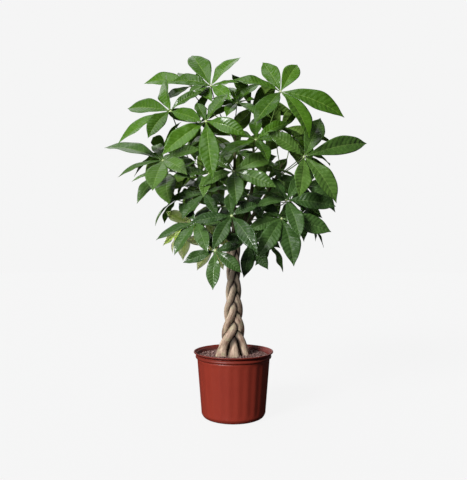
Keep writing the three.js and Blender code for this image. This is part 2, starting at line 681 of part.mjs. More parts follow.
// Every stalk is placed first, and then each leaflet where it is clear of all the stems, the
// stalks and the other leaflets. A leaflet with no clear place is left out.
function growLeaves(stems) {
  const placed = stems.map((stem) => listed(stem, null));
  const sways = LEAVES.map((leaf, leafIndex) => {
    const stalks = placed.slice(stems.length);
    const sway = SWAYS.find((way) => isClear(stalkSolid(leaf, way, ROOM_FROM, LEAF_CLEARANCE), placed)
      && isClear(stalkSolid(leaf, way, STALK_BARE_FROM, GAP), stalks));
    if (!sway) throw new Error(`leaf ${leafIndex + 1} has no way for its stalk`);
    placed.push(listed(stalkSolid(leaf, sway, STALK_FROM, 0), leaf));
    return sway;
  });
  const bends = leafletBends();
  return LEAVES.map((leaf, leafIndex) => {
    const blades = [];
    const others = placed.filter((other) => other.leaf !== leaf);
    const own = placed.filter((other) => other.leaf === leaf);
    leaf.leaflets.forEach((_, index) => {
      const form = leafletForm(leafIndex, index);
      const bend = bends.find((way) => isSpaced(form.clock + way.turn, blades)
        && isClear(leafletSolid(leaf, form, way, LEAFLET_FROM, LEAF_CLEARANCE), others)
        && isClear(leafletSolid(leaf, form, way, ROOM_FROM, LEAF_CLEARANCE), own));
      if (!bend) return;
      blades.push({ form, bend });
      own.push(listed(leafletSolid(leaf, form, bend, LEAFLET_FROM, 0), leaf));
    });
    placed.push(...own);
    blades.sort((a, b) => a.form.clock + a.bend.turn - b.form.clock - b.bend.turn);
    return leafSolid(leaf, sways[leafIndex], blades);
  });
}

function makeMesh(name, solid, color, roughness) {
  const material = new THREE.MeshStandardMaterial({ color, roughness, metalness: 0 });
  const mesh = new THREE.Mesh(geometryFrom(solid), material);
  mesh.name = name;
  return mesh;
}

const wideStems = [];
const stems = [];
for (let stem = 0; stem < STEM_COUNT; stem++) {
  stems.push(wideStems.reduce((solid, wide) => solid.subtract(wide), stemSolid(stem, 0)));
  wideStems.push(stemSolid(stem, GAP));
}

const group = new THREE.Group();
group.add(makeMesh('pot', makePot(), '#9a3a2c', 0.45));
group.add(makeMesh('soil', makeSoil(wideStems), '#4a372d', 0.95));
stems.forEach((stem, i) => {
  group.add(makeMesh(`stem_${i + 1}`, stem, BARKS[i], 0.8));
});
growLeaves(wideStems).forEach((leaf, i) => {
  const solid = wideStems.reduce((rest, wide) => rest.subtract(wide), leaf);
  const name = `leaf_${String(i + 1).padStart(2, '0')}`;
  group.add(makeMesh(name, solid, GREENS[i % GREENS.length], 0.4));
});

export default group;
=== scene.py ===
# Potted money tree: a braided trunk of five stems under a crown of palmate leaves, in a ten-inch
# nursery pot. Metres in the scene and millimetres in the sizes below, +Z up, -Y is the front.
import math
import random

import bmesh
import bpy
import numpy as np
from mathutils import Euler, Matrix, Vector, noise


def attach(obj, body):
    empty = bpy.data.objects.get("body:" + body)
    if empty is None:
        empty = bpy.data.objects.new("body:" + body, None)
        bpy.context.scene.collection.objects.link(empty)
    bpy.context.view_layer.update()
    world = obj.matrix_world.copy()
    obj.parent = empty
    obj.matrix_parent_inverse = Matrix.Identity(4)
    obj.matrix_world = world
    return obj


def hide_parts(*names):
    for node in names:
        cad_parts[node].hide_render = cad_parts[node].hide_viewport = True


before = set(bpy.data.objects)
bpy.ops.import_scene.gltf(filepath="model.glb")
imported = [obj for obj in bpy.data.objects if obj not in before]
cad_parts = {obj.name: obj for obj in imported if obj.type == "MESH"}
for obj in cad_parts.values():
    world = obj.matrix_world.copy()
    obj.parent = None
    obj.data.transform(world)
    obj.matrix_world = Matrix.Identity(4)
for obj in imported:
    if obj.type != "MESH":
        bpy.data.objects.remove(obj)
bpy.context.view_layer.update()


# Camera: level, at the height of the plant's middle and 1.9 m in front of the trunk. The heights of
# the ellipses at the pot's rim and foot give that distance, and the rim's width gives the lens.
EYE = Vector((0, -1.9, 0.563))
FOCAL_PX = 594
PHOTO_HEIGHT_PX = 480


def add_object(name, data):
    """An object of this data, linked into the scene."""
    added = bpy.data.objects.new(name, data)
    bpy.context.scene.collection.objects.link(added)
    return added


camera_data = bpy.data.cameras.new("camera")
camera_data.sensor_fit = "VERTICAL"
camera_data.sensor_height = 36
camera_data.lens = camera_data.sensor_height * FOCAL_PX / PHOTO_HEIGHT_PX
camera = add_object("camera", camera_data)
camera.location = EYE
camera.rotation_euler = Euler((math.radians(90), 0, 0))
bpy.context.scene.camera = camera


# Studio: a pale floor under a pale even surround. A broad soft light comes from the camera's left
# and above it, a softer one from overhead and a weak one from behind, so that the pot's right side
# falls off into shadow.
def linear(hex_colour):
    """An sRGB hex colour as linear red, green, blue and alpha."""
    channels = [int(hex_colour[i:i + 2], 16) / 255 for i in (1, 3, 5)]
    return (*[c / 12.92 if c <= 0.04045 else ((c + 0.055) / 1.055) ** 2.4 for c in channels], 1)


def set_inputs(node, inputs):
    """Gives inputs, by name or number, a value or a link. A node stands for its first output."""
    for name, value in inputs.items():
        if isinstance(value, bpy.types.Node):
            value = next(output for output in value.outputs if output.enabled)
        if isinstance(value, bpy.types.NodeSocket):
            node.id_data.links.new(value, node.inputs[name])
        else:
            node.inputs[name].default_value = value


def add_node(tree, kind, inputs=None, **settings):
    """Adds a node with its settings and inputs."""
    node = tree.nodes.new("ShaderNode" + kind)
    for name, value in settings.items():
        setattr(node, name, value)
    set_inputs(node, inputs or {})
    return node


def start_material(name, **sockets):
    """A material with one shader, and the values of its sockets that are the same all over."""
    material = bpy.data.materials.new(name)
    material.use_nodes = True
    shader = material.node_tree.nodes["Principled BSDF"]
    set_inputs(shader, {socket.replace("_", " "): value for socket, value in sockets.items()})
    return material, material.node_tree, shader


def add_soft_light(name, azimuth, elevation, spread, strength):
    """A far light, turned from the front, raised, and as wide as its spread, in degrees."""
    data = bpy.data.lights.new(name, "SUN")
    data.angle = math.radians(spread)
    data.energy = strength
    turned, raised = math.radians(azimuth), math.radians(elevation)
    away = Vector((math.sin(turned) * math.cos(raised), -math.cos(turned) * math.cos(raised),
                   math.sin(raised)))
    add_object(name, data).rotation_euler = away.to_track_quat("Z", "Y").to_euler()


add_soft_light("key_light", -37, 28, 18, 3.8)
add_soft_light("top_light", -30, 70, 40, 0.9)
add_soft_light("rear_light", -165, 38, 50, 0.65)

world = bpy.data.worlds.new("surround")
world.use_nodes = True
bpy.context.scene.world = world
sky = world.node_tree
seen = add_node(sky, "Background", {"Color": linear("#f5f5f5"), "Strength": 1.0})
ambient = add_node(sky, "Background", {"Color": linear("#eef2f6"), "Strength": 0.13})
path = add_node(sky, "LightPath")
both = add_node(sky, "MixShader", {0: path.outputs["Is Camera Ray"], 1: ambient, 2: seen})
set_inputs(sky.nodes["World Output"], {0: both})
bpy.context.scene.view_settings.view_transform = "Standard"

# The floor is seen as even and pale as the surround, and throws only a little light up on the pot
floor_paper, tree, shader = start_material(
    "floor_paper", Base_Color=linear("#343434"), Roughness=1.0, Specular_IOR_Level=0.0,
    Emission_Color=linear("#f5f5f5"))
floor_path = add_node(tree, "LightPath")
floor_glow = add_node(tree, "Math", {
    0: floor_path.outputs["Is Camera Ray"], 1: 0.965}, operation="MULTIPLY")
set_inputs(shader, {"Emission Strength": floor_glow})
floor_mesh = bpy.data.meshes.new("floor")
floor_form = bmesh.new()
bmesh.ops.create_circle(floor_form, cap_ends=True, segments=96, radius=9)
bmesh.ops.translate(floor_form, verts=floor_form.verts, vec=(0, 0, -0.0004))
floor_form.to_mesh(floor_mesh)
floor_form.free()
floor_mesh.materials.append(floor_paper)
floor = add_object("floor", floor_mesh)


# Pot: a round nursery pot, moulded in one piece in red-brown polypropylene. Upright flutes stiffen
# its wall between the foot and the bead, and a rolled lip stiffens its mouth. Its floor drains.
MILLIMETRE = 0.001
POT_HEIGHT = 209
RIM_RADIUS = 127
BODY_TOP_RADIUS = 115.8
BODY_TOP = 186
BODY_FOOT_RADIUS = 102
BODY_FOOT = 13
POT_WALL = 2.8
POT_FLOOR = 4
POT_FLOOR_CORNER = 7
FLUTES = 24
FLUTE_DEPTH = 1.1
STEPS_PER_FLUTE = 12
DRAIN_HOLES = 5
DRAIN_RING_RADIUS = 74
DRAIN_RADIUS = 7
# A painted shade darkens the pot from the bead up to the lip, rising between these heights
LIP_PAINTED_SHADE = (BODY_TOP + 0.5, BODY_TOP + 4)
DRIED_SOIL_ENDS = (206, 214)


def smooth(low, high, value):
    """0 below low, 1 above high, and an even slope between them."""
    share = np.clip((value - low) / (high - low), 0, 1)
    return share * share * (3 - 2 * share)


def mix(first, second, share):
    return first + (second - first) * share


def grid_faces(rows, columns, first=0, closed=False):
    """The quads between the rows of a grid of points, numbered row by row."""
    row, column = np.meshgrid(
        np.arange(rows - 1), np.arange(columns if closed else columns - 1), indexing="ij")
    here = row * columns + column
    beside = row * columns + (column + 1) % columns
    quads = np.stack([here, beside, beside + columns, here + columns], axis=-1)
    return (quads.reshape(-1, 4) + first).tolist()


def add_piece(name, points, faces, materials, slots=None, is_flat=None):
    """A piece from points in millimetres, with each face's material in slots, and its shading."""
    mesh = bpy.data.meshes.new(name)
    mesh.from_pydata((np.asarray(points) * MILLIMETRE).tolist(), [], faces)
    for material in materials:
        mesh.materials.append(material)
    mesh.polygons.foreach_set("material_index", slots or [0] * len(faces))
    mesh.polygons.foreach_set("use_smooth", [not f for f in is_flat or [False] * len(faces)])
    form = bmesh.new()
    form.from_mesh(mesh)
    bmesh.ops.recalc_face_normals(form, faces=form.faces)
    form.to_mesh(mesh)
    form.free()
    return add_object(name, mesh)


def rounded(corners, steps=4):
    """An outline whose corners are (radius, height, how far from it each corner's curve starts)."""
    outline = []
    for i, (radius, height, fillet) in enumerate(corners):
        corner = np.array((radius, height), float)
        if not fillet:
            outline.append(corner)
            continue
        ends = []
        for other in (corners[i - 1], corners[i + 1]):
            towards = np.array(other[:2], float) - corner
            reach = np.linalg.norm(towards)
            ends.append(corner + towards / reach * min(fillet, 0.45 * reach))
        for k in range(steps + 1):
            share = k / steps
            outline.append((1 - share) ** 2 * ends[0] + 2 * share * (1 - share) * corner
                           + share ** 2 * ends[1])
    return np.array(outline)


def body_radius(height):
    """The outside of the pot's straight wall."""
    slope = (BODY_TOP_RADIUS - BODY_FOOT_RADIUS) / (BODY_TOP - BODY_FOOT)
    return BODY_FOOT_RADIUS + slope * (height - BODY_FOOT)


def inner_radius(height):
    return body_radius(height) - POT_WALL


pot_outline = rounded([
    (0, 0, 0), (30, 0, 0), (60, 0, 0), (88, 0, 2), (96.5, 3.5, 4), (102, BODY_FOOT, 4),
    *[(body_radius(z), z, 0) for z in (18, 22, 27, 33, 40, 60, 100, 140, 160, 166, 172, 177, 181)],
    (BODY_TOP_RADIUS, 184.6, 0), (BODY_TOP_RADIUS - 1, BODY_TOP + 0.6, 0.6),
    (BODY_TOP_RADIUS - 0.9, 188.6, 0.6), (120.4, 189.4, 1), (121.4, 193.4, 1.8),
    (118.6, 197.6, 1.8), (116.4, 199, 0.8), (116.6, 203, 0.8), (124.4, 203.8, 1),
    (RIM_RADIUS, 206.4, 1.4), (RIM_RADIUS - 0.4, POT_HEIGHT, 1),
    (RIM_RADIUS - 3.6, POT_HEIGHT, 1.3), (inner_radius(BODY_TOP) + 1.6, 199, 3),
    (inner_radius(BODY_TOP), BODY_TOP, 3), (inner_radius(100), 100, 0),
    (inner_radius(BODY_FOOT), BODY_FOOT, 0),
    (inner_radius(BODY_FOOT) - POT_FLOOR_CORNER, POT_FLOOR, 0),
    (60, POT_FLOOR, 0), (30, POT_FLOOR, 0), (0, POT_FLOOR, 0),
])


def tube_faces(rows, columns):
    """The faces round rows of points and over both ends. The ends' middles follow the rows."""
    faces = grid_faces(rows, columns, closed=True)
    start, end = rows * columns, rows * columns + 1
    last = (rows - 1) * columns
    for j in range(columns):
        after = (j + 1) % columns
        faces.append([start, after, j])
        faces.append([end, last + j, last + after])
    return faces


def turned(outline, segments):
    """An outline turned about the upright axis: radii, heights, angles from the front, faces."""
    angle = np.arange(segments) * 2 * np.pi / segments
    rings = outline[1:-1]
    radius = np.repeat(rings[:, :1], segments, axis=1)
    height = np.repeat(rings[:, 1:], segments, axis=1)
    around = np.repeat(angle[None, :], len(rings), axis=0)
    return radius, height, around, tube_faces(len(rings), segments)


def turned_points(radius, height, around, outline):
    """The points of a turned form, ring by ring, then the middles of its underside and top."""
    rings = np.stack([radius * np.sin(around), -radius * np.cos(around), height], axis=-1)
    ends = [[0, 0, outline[0][1]], [0, 0, outline[-1][1]]]
    return np.concatenate([rings.reshape(-1, 3), ends])


radius, height, around, pot_faces = turned(pot_outline, FLUTES * STEPS_PER_FLUTE)
hollow = 0.5 + 0.5 * np.cos(FLUTES * around)
fluted = smooth(BODY_FOOT, BODY_FOOT + 18, height) * (1 - smooth(BODY_TOP - 14, BODY_TOP, height))
is_outside = radius > inner_radius(height) + POT_WALL / 2
radius = radius - FLUTE_DEPTH * hollow * fluted * is_outside

# Moulded polypropylene with a satin face: a warm red-brown that is a little uneven and scuffed,
# deeper from the bead up round the lip where a painted shade darkens it, fine upright drag marks
# from the mould, and a film of dried soil above the soil line inside the mouth
pot_plastic, tree, shader = start_material(
    "moulded_polypropylene", IOR=1.49, Specular_IOR_Level=0.35)
coordinates = add_node(tree, "TexCoord")
place = coordinates.outputs["Object"]
tint = add_node(tree, "TexNoise", {"Vector": place, "Scale": 1 / 0.045, "Detail": 3.0})
body_colour = add_node(tree, "Mix", {
    0: tint, 6: linear("#893024"), 7: linear("#943728")}, data_type="RGBA")
drag_place = add_node(tree, "Mapping", {"Vector": place, "Scale": (1, 1, 0.06)})
drag = add_node(tree, "TexNoise", {"Vector": drag_place, "Scale": 1 / 0.0022, "Detail": 4.0})
scuff = add_node(tree, "TexNoise", {
    "Vector": place, "Scale": 1 / 0.012, "Detail": 8.0, "Roughness": 0.7})
scuffed = add_node(tree, "MapRange", {
    "Value": scuff, "From Min": 0.58, "From Max": 0.78, "To Max": 0.16})
level = add_node(tree, "SeparateXYZ", {0: place})
reach_out = add_node(tree, "VectorMath", {0: place, 1: (1, 1, 0)}, operation="MULTIPLY")
inwards = add_node(tree, "VectorMath", {
    0: coordinates.outputs["Normal"], 1: reach_out}, operation="DOT_PRODUCT")
inside = add_node(tree, "MapRange", {
    "Value": inwards.outputs["Value"], "From Min": -0.02, "From Max": -0.06})
splash_top = add_node(tree, "Math", {
    0: scuff, 1: 0.012, 2: level.outputs["Z"]}, operation="MULTIPLY_ADD")
splash = add_node(tree, "MapRange", {
    "Value": splash_top, "From Min": DRIED_SOIL_ENDS[1] * MILLIMETRE,
    "From Max": DRIED_SOIL_ENDS[0] * MILLIMETRE})
soiled = add_node(tree, "Math", {0: splash, 1: inside}, operation="MULTIPLY")
soiled_share = add_node(tree, "Math", {0: soiled, 1: 0.6}, operation="MULTIPLY")
# Painted shade: darker from the bead up round the lip
lip_painted_shade = add_node(tree, "MapRange", {
    "Value": level.outputs["Z"], "From Min": LIP_PAINTED_SHADE[0] * MILLIMETRE,
    "From Max": LIP_PAINTED_SHADE[1] * MILLIMETRE, "To Max": 0.4})
pot_colour = body_colour
for share, colour in ((scuffed, "#a55c4b"), (lip_painted_shade, "#551d16"), (soiled_share, "#6e423f")):
    pot_colour = add_node(tree, "Mix", {
        0: share, 6: pot_colour, 7: linear(colour)}, data_type="RGBA")
satin = add_node(tree, "MapRange", {"Value": scuff, "To Min": 0.34, "To Max": 0.5})
moulded = add_node(tree, "Bump", {"Height": drag, "Strength": 0.12, "Distance": 0.0004})
set_inputs(shader, {"Base Color": pot_colour, "Roughness": satin, "Normal": moulded})

pot = add_piece("nursery_pot", turned_points(radius, height, around, pot_outline), pot_faces,
                [pot_plastic])
hole_form = bmesh.new()
for i in range(DRAIN_HOLES):
    angle = (i + 0.5) * 2 * math.pi / DRAIN_HOLES
    made = bmesh.ops.create_cone(
        hole_form, cap_ends=True, segments=40, radius1=DRAIN_RADIUS * MILLIMETRE,
        radius2=DRAIN_RADIUS * MILLIMETRE, depth=4 * POT_FLOOR * MILLIMETRE)
    ring = DRAIN_RING_RADIUS * MILLIMETRE
    bmesh.ops.translate(hole_form, verts=made["verts"],
                        vec=(ring * math.cos(angle), ring * math.sin(angle), 0))
hole_mesh = bpy.data.meshes.new("drain_holes")
hole_form.to_mesh(hole_mesh)
hole_form.free()
drain_holes = add_object("drain_holes", hole_mesh)
cut = pot.modifiers.new("drain", "BOOLEAN")
cut.operation = "DIFFERENCE"
cut.solver = "MANIFOLD"
cut.object = drain_holes
bpy.context.view_layer.objects.active = pot
bpy.ops.object.modifier_apply(modifier=cut.name)
bpy.data.objects.remove(drain_holes)
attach(pot, "root")
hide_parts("pot")


# Stems: five slim stems of the young tree, plaited while soft, with thin smooth grey-beige bark.
# Above the braid each goes on as a bare shoot, browner and then green, that carries leaf stalks.
BRAID_FOOT = 195
BRAID_START = 280
BRAID_TOP = 552
BRAID_PITCH = 321
BRAID_CROSSING = 307
CROSSING_PHASE = 0.75
BRAID_TURN = math.radians(30)
BRAID_REACH = 24.5
BRAID_TOP_REACH = 13.5
BRAID_DEPTH = 0.65
ARM_STRAIGHTNESS = 0.11
REACH_SHRINKS = (230, 440)
SHOOTS_PART = (BRAID_TOP - 20, BRAID_TOP + 60)
BASE_RADIUS = 13.2
TOP_RADIUS = 9.2
STEM_SLIMS = (250, 480)
SHOOT_TIP_RADIUS = 3.6
FOOT_SWELLING = 2.4
FOOT_SPREAD = 20
STEM_WIDTH = 1.08
STEM_FLATNESS = 0.76
STEM_ROOT = 150
RING_STEP = 4
STEM_SIDES = 32
FEET = [(-38, -22), (2, -36), (24, 24), (34, -10), (-34, 14)]
FOOT_FLARES = (0.3, 0.28, 0.14, 0.14, 0.14)
FLARE_SPREAD = 22
# The short stem in front goes in behind its neighbours first, and is slimmer where it does
SHORT_STEM = 1
SHORT_STEM_TAPER = 0.14
SHORT_STEM_TAPERS = (200, 238)
SHORT_STEM_WIDENS = (262, 290)
# How far from a neighbour's bark the painted shade on a stem reaches: beside it, under it, and
# under it at the foot
DARK_FROM = 0.6
DARK_BESIDE = 5.5
DARK_UNDER = 14.5
DARK_UNDER_AT_FOOT = 32
DARK_ON_SHORT_STEM = 46
DARKEST = 0.97
STRIP_RADIUS = 0.012
SHOOTS = [
    {"tip": (-135, -50, 815), "rise": 1.1},
    {"tip": (5, 40, 965), "rise": 1.5},
    {"tip": (160, 40, 815), "rise": 1.2},
    {"tip": (62, -58, 852), "rise": 3},
    {"tip": (-75, 130, 860), "rise": 1.3},
]


def draws(seed):
    """A repeatable stream of numbers from 0 to 1, one stream for each seed."""
    state = (seed * 7919 + 104729) % 2 ** 32
    while True:
        state = (state * 1664525 + 1013904223) % 2 ** 32
        yield state / 2 ** 32


def unit(vectors):
    return vectors / np.linalg.norm(vectors, axis=-1, keepdims=True)


def stem_centre(stem, height):
    """The middle of a stem at each height: planted below, plaited, then free above the braid."""
    height = np.asarray(height, float)
    climb = (height - BRAID_CROSSING) / BRAID_PITCH + stem / len(FEET) + CROSSING_PHASE
    reach = mix(BRAID_REACH, BRAID_TOP_REACH, smooth(*REACH_SHRINKS, height))
    turn = 2 * np.pi * climb
    across = reach * (np.cos(turn) + ARM_STRAIGHTNESS * np.cos(3 * turn)) / (1 + ARM_STRAIGHTNESS)
    deep = -reach * BRAID_DEPTH * np.sin(2 * turn)
    planted = np.clip((BRAID_START - height) / (BRAID_START - BRAID_FOOT), 0, 1)
    x = mix(across * math.cos(BRAID_TURN) - deep * math.sin(BRAID_TURN), FEET[stem][0], planted)
    y = mix(across * math.sin(BRAID_TURN) + deep * math.cos(BRAID_TURN), FEET[stem][1], planted)
    tip, rise = SHOOTS[stem]["tip"], SHOOTS[stem]["rise"]
    free = smooth(*SHOOTS_PART, height)
    run = np.clip((height - BRAID_TOP) / (tip[2] - BRAID_TOP), 0, 1)
    spread = 1 - (1 - run) ** rise
    return np.stack([x * (1 - free) + tip[0] * spread, y * (1 - free) + tip[1] * spread, height],
                    axis=-1)


def stem_radius(stem, height):
    slimmed = np.clip((height - STEM_SLIMS[0]) / (STEM_SLIMS[1] - STEM_SLIMS[0]), 0, 1)
    foot = FOOT_SWELLING * np.exp(-((height - BRAID_FOOT) / FOOT_SPREAD) ** 2)
    run = np.clip((height - BRAID_TOP) / (SHOOTS[stem]["tip"][2] - BRAID_TOP), 0, 1)
    return mix(mix(BASE_RADIUS, TOP_RADIUS, slimmed) + foot, SHOOT_TIP_RADIUS, np.sqrt(run))


def tube_points(centres, along, lead, widths, depths, sides):
    """Rings of points round a path. Their widths lie square to lead, and their depths along it."""
    across = unit(np.cross(lead, along))
    deep = np.cross(along, across)
    angle = np.arange(sides) * 2 * np.pi / sides
    return (centres[:, None, :]
            + across[:, None, :] * (np.asarray(widths)[..., None] * np.cos(angle))[..., None]
            + deep[:, None, :] * (np.asarray(depths)[..., None] * np.sin(angle))[..., None])


# Young bark: grey-beige in long patches and streaks, faintly green in places, with small corky
# pores across it, and a brownish green on the shoots. A painted shade darkens it where the stems
# press together, and a painted light makes it paler higher up the braid.
bark, tree, shader = start_material("smooth_bark", IOR=1.4)
place = add_node(tree, "TexCoord").outputs["Object"]
strip = add_node(tree, "UVMap", uv_map="along_stem")
mottle = add_node(tree, "TexNoise", {"Vector": place, "Scale": 1 / 0.016, "Detail": 5.0})
patch_place = add_node(tree, "Mapping", {"Vector": strip, "Scale": (1 / 0.011, 1 / 0.05, 1)})
patch = add_node(tree, "TexNoise", {
    "Vector": patch_place, "Scale": 1.0, "Detail": 4.0, "Roughness": 0.6})
streak_place = add_node(tree, "Mapping", {"Vector": strip, "Scale": (1 / 0.003, 1 / 0.03, 1)})
streak = add_node(tree, "TexNoise", {
    "Vector": streak_place, "Scale": 1.0, "Detail": 6.0, "Roughness": 0.65})
streaked = add_node(tree, "Math", {0: streak, 1: 0.7, 2: patch}, operation="MULTIPLY_ADD")
streak_share = add_node(tree, "MapRange", {"Value": streaked, "From Min": 0.66, "From Max": 1.02})
pale_bark = add_node(tree, "Mix", {
    0: streak_share, 6: linear("#6e4b3a"), 7: linear("#e2c8b0")}, data_type="RGBA")
green_share = add_node(tree, "MapRange", {
    "Value": mottle, "From Min": 0.5, "From Max": 0.66, "To Max": 0.5})
pore_place = add_node(tree, "Mapping", {"Vector": strip, "Scale": (1 / 0.006, 1 / 0.0035, 1)})
pores = add_node(tree, "TexVoronoi", {"Vector": pore_place, "Scale": 1.0})
pore_share = add_node(tree, "MapRange", {
    "Value": pores, "From Min": 0.26, "From Max": 0.12, "To Max": 0.45})
level = add_node(tree, "SeparateXYZ", {0: place})
# Painted light: the bark is made paler higher up the braid, against the crown's shade
painted_light_share = add_node(tree, "MapRange", {
    "Value": level.outputs["Z"], "From Min": 0.29, "From Max": 0.43, "To Max": 0.26})
ageing = add_node(tree, "Math", {
    0: mottle, 1: 0.06, 2: level.outputs["Z"]}, operation="MULTIPLY_ADD")
young_share = add_node(tree, "MapRange", {"Value": ageing, "From Min": 0.53, "From Max": 0.68})
shoot_colour = add_node(tree, "Mix", {
    0: streak, 6: linear("#3c3a22"), 7: linear("#66683c")}, data_type="RGBA")
# Painted shade: near black where the stems press together and in the hollows under them
painted_crevice_shade = add_node(tree, "Attribute", attribute_name="painted_crevice_shade")
bark_colour = pale_bark
for share, colour in ((green_share, linear("#b3b48c")), (pore_share, linear("#7a6048")),
                      (painted_light_share, linear("#ece2c8")), (young_share, shoot_colour),
                      (painted_crevice_shade.outputs["Fac"], linear("#150d09"))):
    bark_colour = add_node(tree, "Mix", {0: share, 6: bark_colour, 7: colour}, data_type="RGBA")
bark_height = add_node(tree, "Math", {0: pore_share, 1: -0.8, 2: streak}, operation="MULTIPLY_ADD")
bark_relief = add_node(tree, "Bump", {"Height": bark_height, "Strength": 0.5, "Distance": 0.0012})
bark_sheen = add_node(tree, "MapRange", {"Value": streak, "To Min": 0.52, "To Max": 0.8})
set_inputs(shader, {"Base Color": bark_colour, "Roughness": bark_sheen, "Normal": bark_relief})


def set_points(piece, name, values):
    """Stores a number for each point of a piece, which its material reads."""
    attribute = piece.data.attributes.new(name, "FLOAT", "POINT")
    attribute.data.foreach_set("value", np.asarray(values, np.float32))


def set_map(piece, name, places):
    """Stores a flat place for each point of a piece, which its material reads."""
    corners = np.zeros(len(piece.data.loops), int)
    piece.data.loops.foreach_get("vertex_index", corners)
    uv = piece.data.uv_layers.new(name=name)
    uv.data.foreach_set("uv", places[corners].ravel())


front = np.array([math.sin(BRAID_TURN), -math.cos(BRAID_TURN), 0])
for stem in range(len(FEET)):
    tip_height = SHOOTS[stem]["tip"][2]
    heights = np.linspace(STEM_ROOT, tip_height, round((tip_height - STEM_ROOT) / RING_STEP))
    centres = stem_centre(stem, heights)
    along = unit(stem_centre(stem, heights + 1) - stem_centre(stem, heights - 1))
    loose = (1 - smooth(BRAID_START - 40, BRAID_START, heights)
             + smooth(BRAID_TOP, BRAID_TOP + 50, heights))
    chance = draws(900 + stem)
    phases = [2 * math.pi * next(chance) for _ in range(4)]
    # The bark swells a little and unevenly, more so at each old leaf scar
    swelling = (0.022 * np.sin(heights / 11 + phases[0]) + 0.02 * np.sin(heights / 23 + phases[1])
                + 0.03 * np.exp(-((heights % 47 - 23) / 4) ** 2))
    end = np.clip((tip_height - heights) / 5, 0.25, 1) ** 0.5
    flare = FOOT_FLARES[stem] * np.exp(-((heights - BRAID_FOOT) / FLARE_SPREAD) ** 2)
    if stem == SHORT_STEM:
        flare = flare - SHORT_STEM_TAPER * smooth(*SHORT_STEM_TAPERS, heights) * (
            1 - smooth(*SHORT_STEM_WIDENS, heights))
    radii = stem_radius(stem, heights) * (1 + swelling + flare) * end
    angle = np.arange(STEM_SIDES) * 2 * np.pi / STEM_SIDES
    rings = tube_points(centres, along, front, radii * mix(STEM_WIDTH, 1, loose),
                        radii * mix(STEM_FLATNESS, 1, loose), STEM_SIDES)
    lumps = (0.018 * np.sin(3 * angle + heights[:, None] / 31 + phases[2])
             + 0.012 * np.sin(5 * angle - heights[:, None] / 17 + phases[3]))
    rings = rings + (rings - centres[:, None, :]) * lumps[..., None]
    # How deep the painted shade is at each point, from 0 to 1, by how near a neighbouring stem is
    crevice_shade_by = np.zeros(rings.shape[:2])
    for other in range(len(FEET)):
        if other != stem:
            level_points = stem_centre(other, np.minimum(rings[..., 2], SHOOTS[other]["tip"][2]))
            apart = np.linalg.norm(rings[..., :2] - level_points[..., :2], axis=-1)
            apart = apart - stem_radius(other, rings[..., 2])
            outward = unit(rings[..., :2])
            over = ((level_points[..., :2] - centres[:, None, :2]) * outward).sum(axis=-1)
            foot = 1 - smooth(BRAID_START - 20, BRAID_START + 5, rings[..., 2])
            under = smooth(mix(-2, -16, foot), mix(14, -2, foot), over)
            dark_at_foot = DARK_ON_SHORT_STEM if stem == SHORT_STEM else DARK_UNDER_AT_FOOT
            dark_to = mix(DARK_BESIDE, mix(DARK_UNDER, dark_at_foot, foot), under)
            crevice_shade_by = np.maximum(crevice_shade_by, 1 - smooth(DARK_FROM, dark_to, apart))
    points = np.concatenate([rings.reshape(-1, 3), centres[:1], centres[-1:] + along[-1:] * 2])
    piece = add_piece(f"braided_stem_{stem + 1}", points, tube_faces(len(heights), STEM_SIDES),
                      [bark])
    set_points(piece, "painted_crevice_shade", np.append(crevice_shade_by.ravel() * DARKEST, [0, 0]))
    # The strip of bark unrolled, in metres round the stem and up it
    around_stem = np.minimum(angle, 2 * np.pi - angle) * STRIP_RADIUS
    up_stem = heights * MILLIMETRE
    strip_place = np.stack(np.broadcast_arrays(around_stem[None, :], up_stem[:, None]), axis=-1)
    strip_ends = [[0, up_stem[0]], [0, up_stem[-1]]]
    set_map(piece, "along_stem", np.concatenate([strip_place.reshape(-1, 2), strip_ends]))
    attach(piece, "root")
    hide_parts(f"stem_{stem + 1}")


# Soil: a damp mix of peat, composted bark and grit that fills the pot to just below the lip. Its
# top is nearly level, a little higher round the stems, and crumbs and flat bark chips lie over it.
SOIL_LEVEL = 194.5
SOIL_MOUND = 2.5
MOUND_RADIUS = 95
MOUND_TOP_RADIUS = 45
SOIL_CLEARANCE = 0.35
SOIL_SEGMENTS = 144
SOIL_BITS = 1350


def soil_height(x, y):
    """The height of the soil's top, with clods about 20 mm and crumbs about 5 mm across."""
    distance = math.hypot(x, y)
    mound = SOIL_MOUND * (1 - float(smooth(MOUND_TOP_RADIUS, MOUND_RADIUS, distance)))
    clods = 1.6 * noise.noise(Vector((x / 20, y / 20, 0)))
    crumbs = 1.3 * noise.noise(Vector((x / 5, y / 5, 7)))
    return SOIL_LEVEL + mound + clods + crumbs - 0.4


wall_foot = inner_radius(BODY_FOOT) - SOIL_CLEARANCE
wall_top = inner_radius(SOIL_LEVEL) - SOIL_CLEARANCE
soil_outline = np.array(
    [(0, POT_FLOOR + 0.3), (wall_foot - POT_FLOOR_CORNER, POT_FLOOR + 0.3),
     (wall_foot, BODY_FOOT + 0.3), (inner_radius(100) - SOIL_CLEARANCE, 100),
     (wall_top, SOIL_LEVEL - 2)]
    + [(r, SOIL_LEVEL) for r in np.linspace(wall_top - 0.5, 1.5, 56)] + [(0, SOIL_LEVEL)])
radius, height, around, soil_faces = turned(soil_outline, SOIL_SEGMENTS)
soil_points = turned_points(radius, height, around, soil_outline)
for point in soil_points:
    if point[2] >= SOIL_LEVEL:
        point[2] = soil_height(point[0], point[1])
soil_tones = [0.15] * len(soil_points)
soil_is_flat = [False] * len(soil_faces)

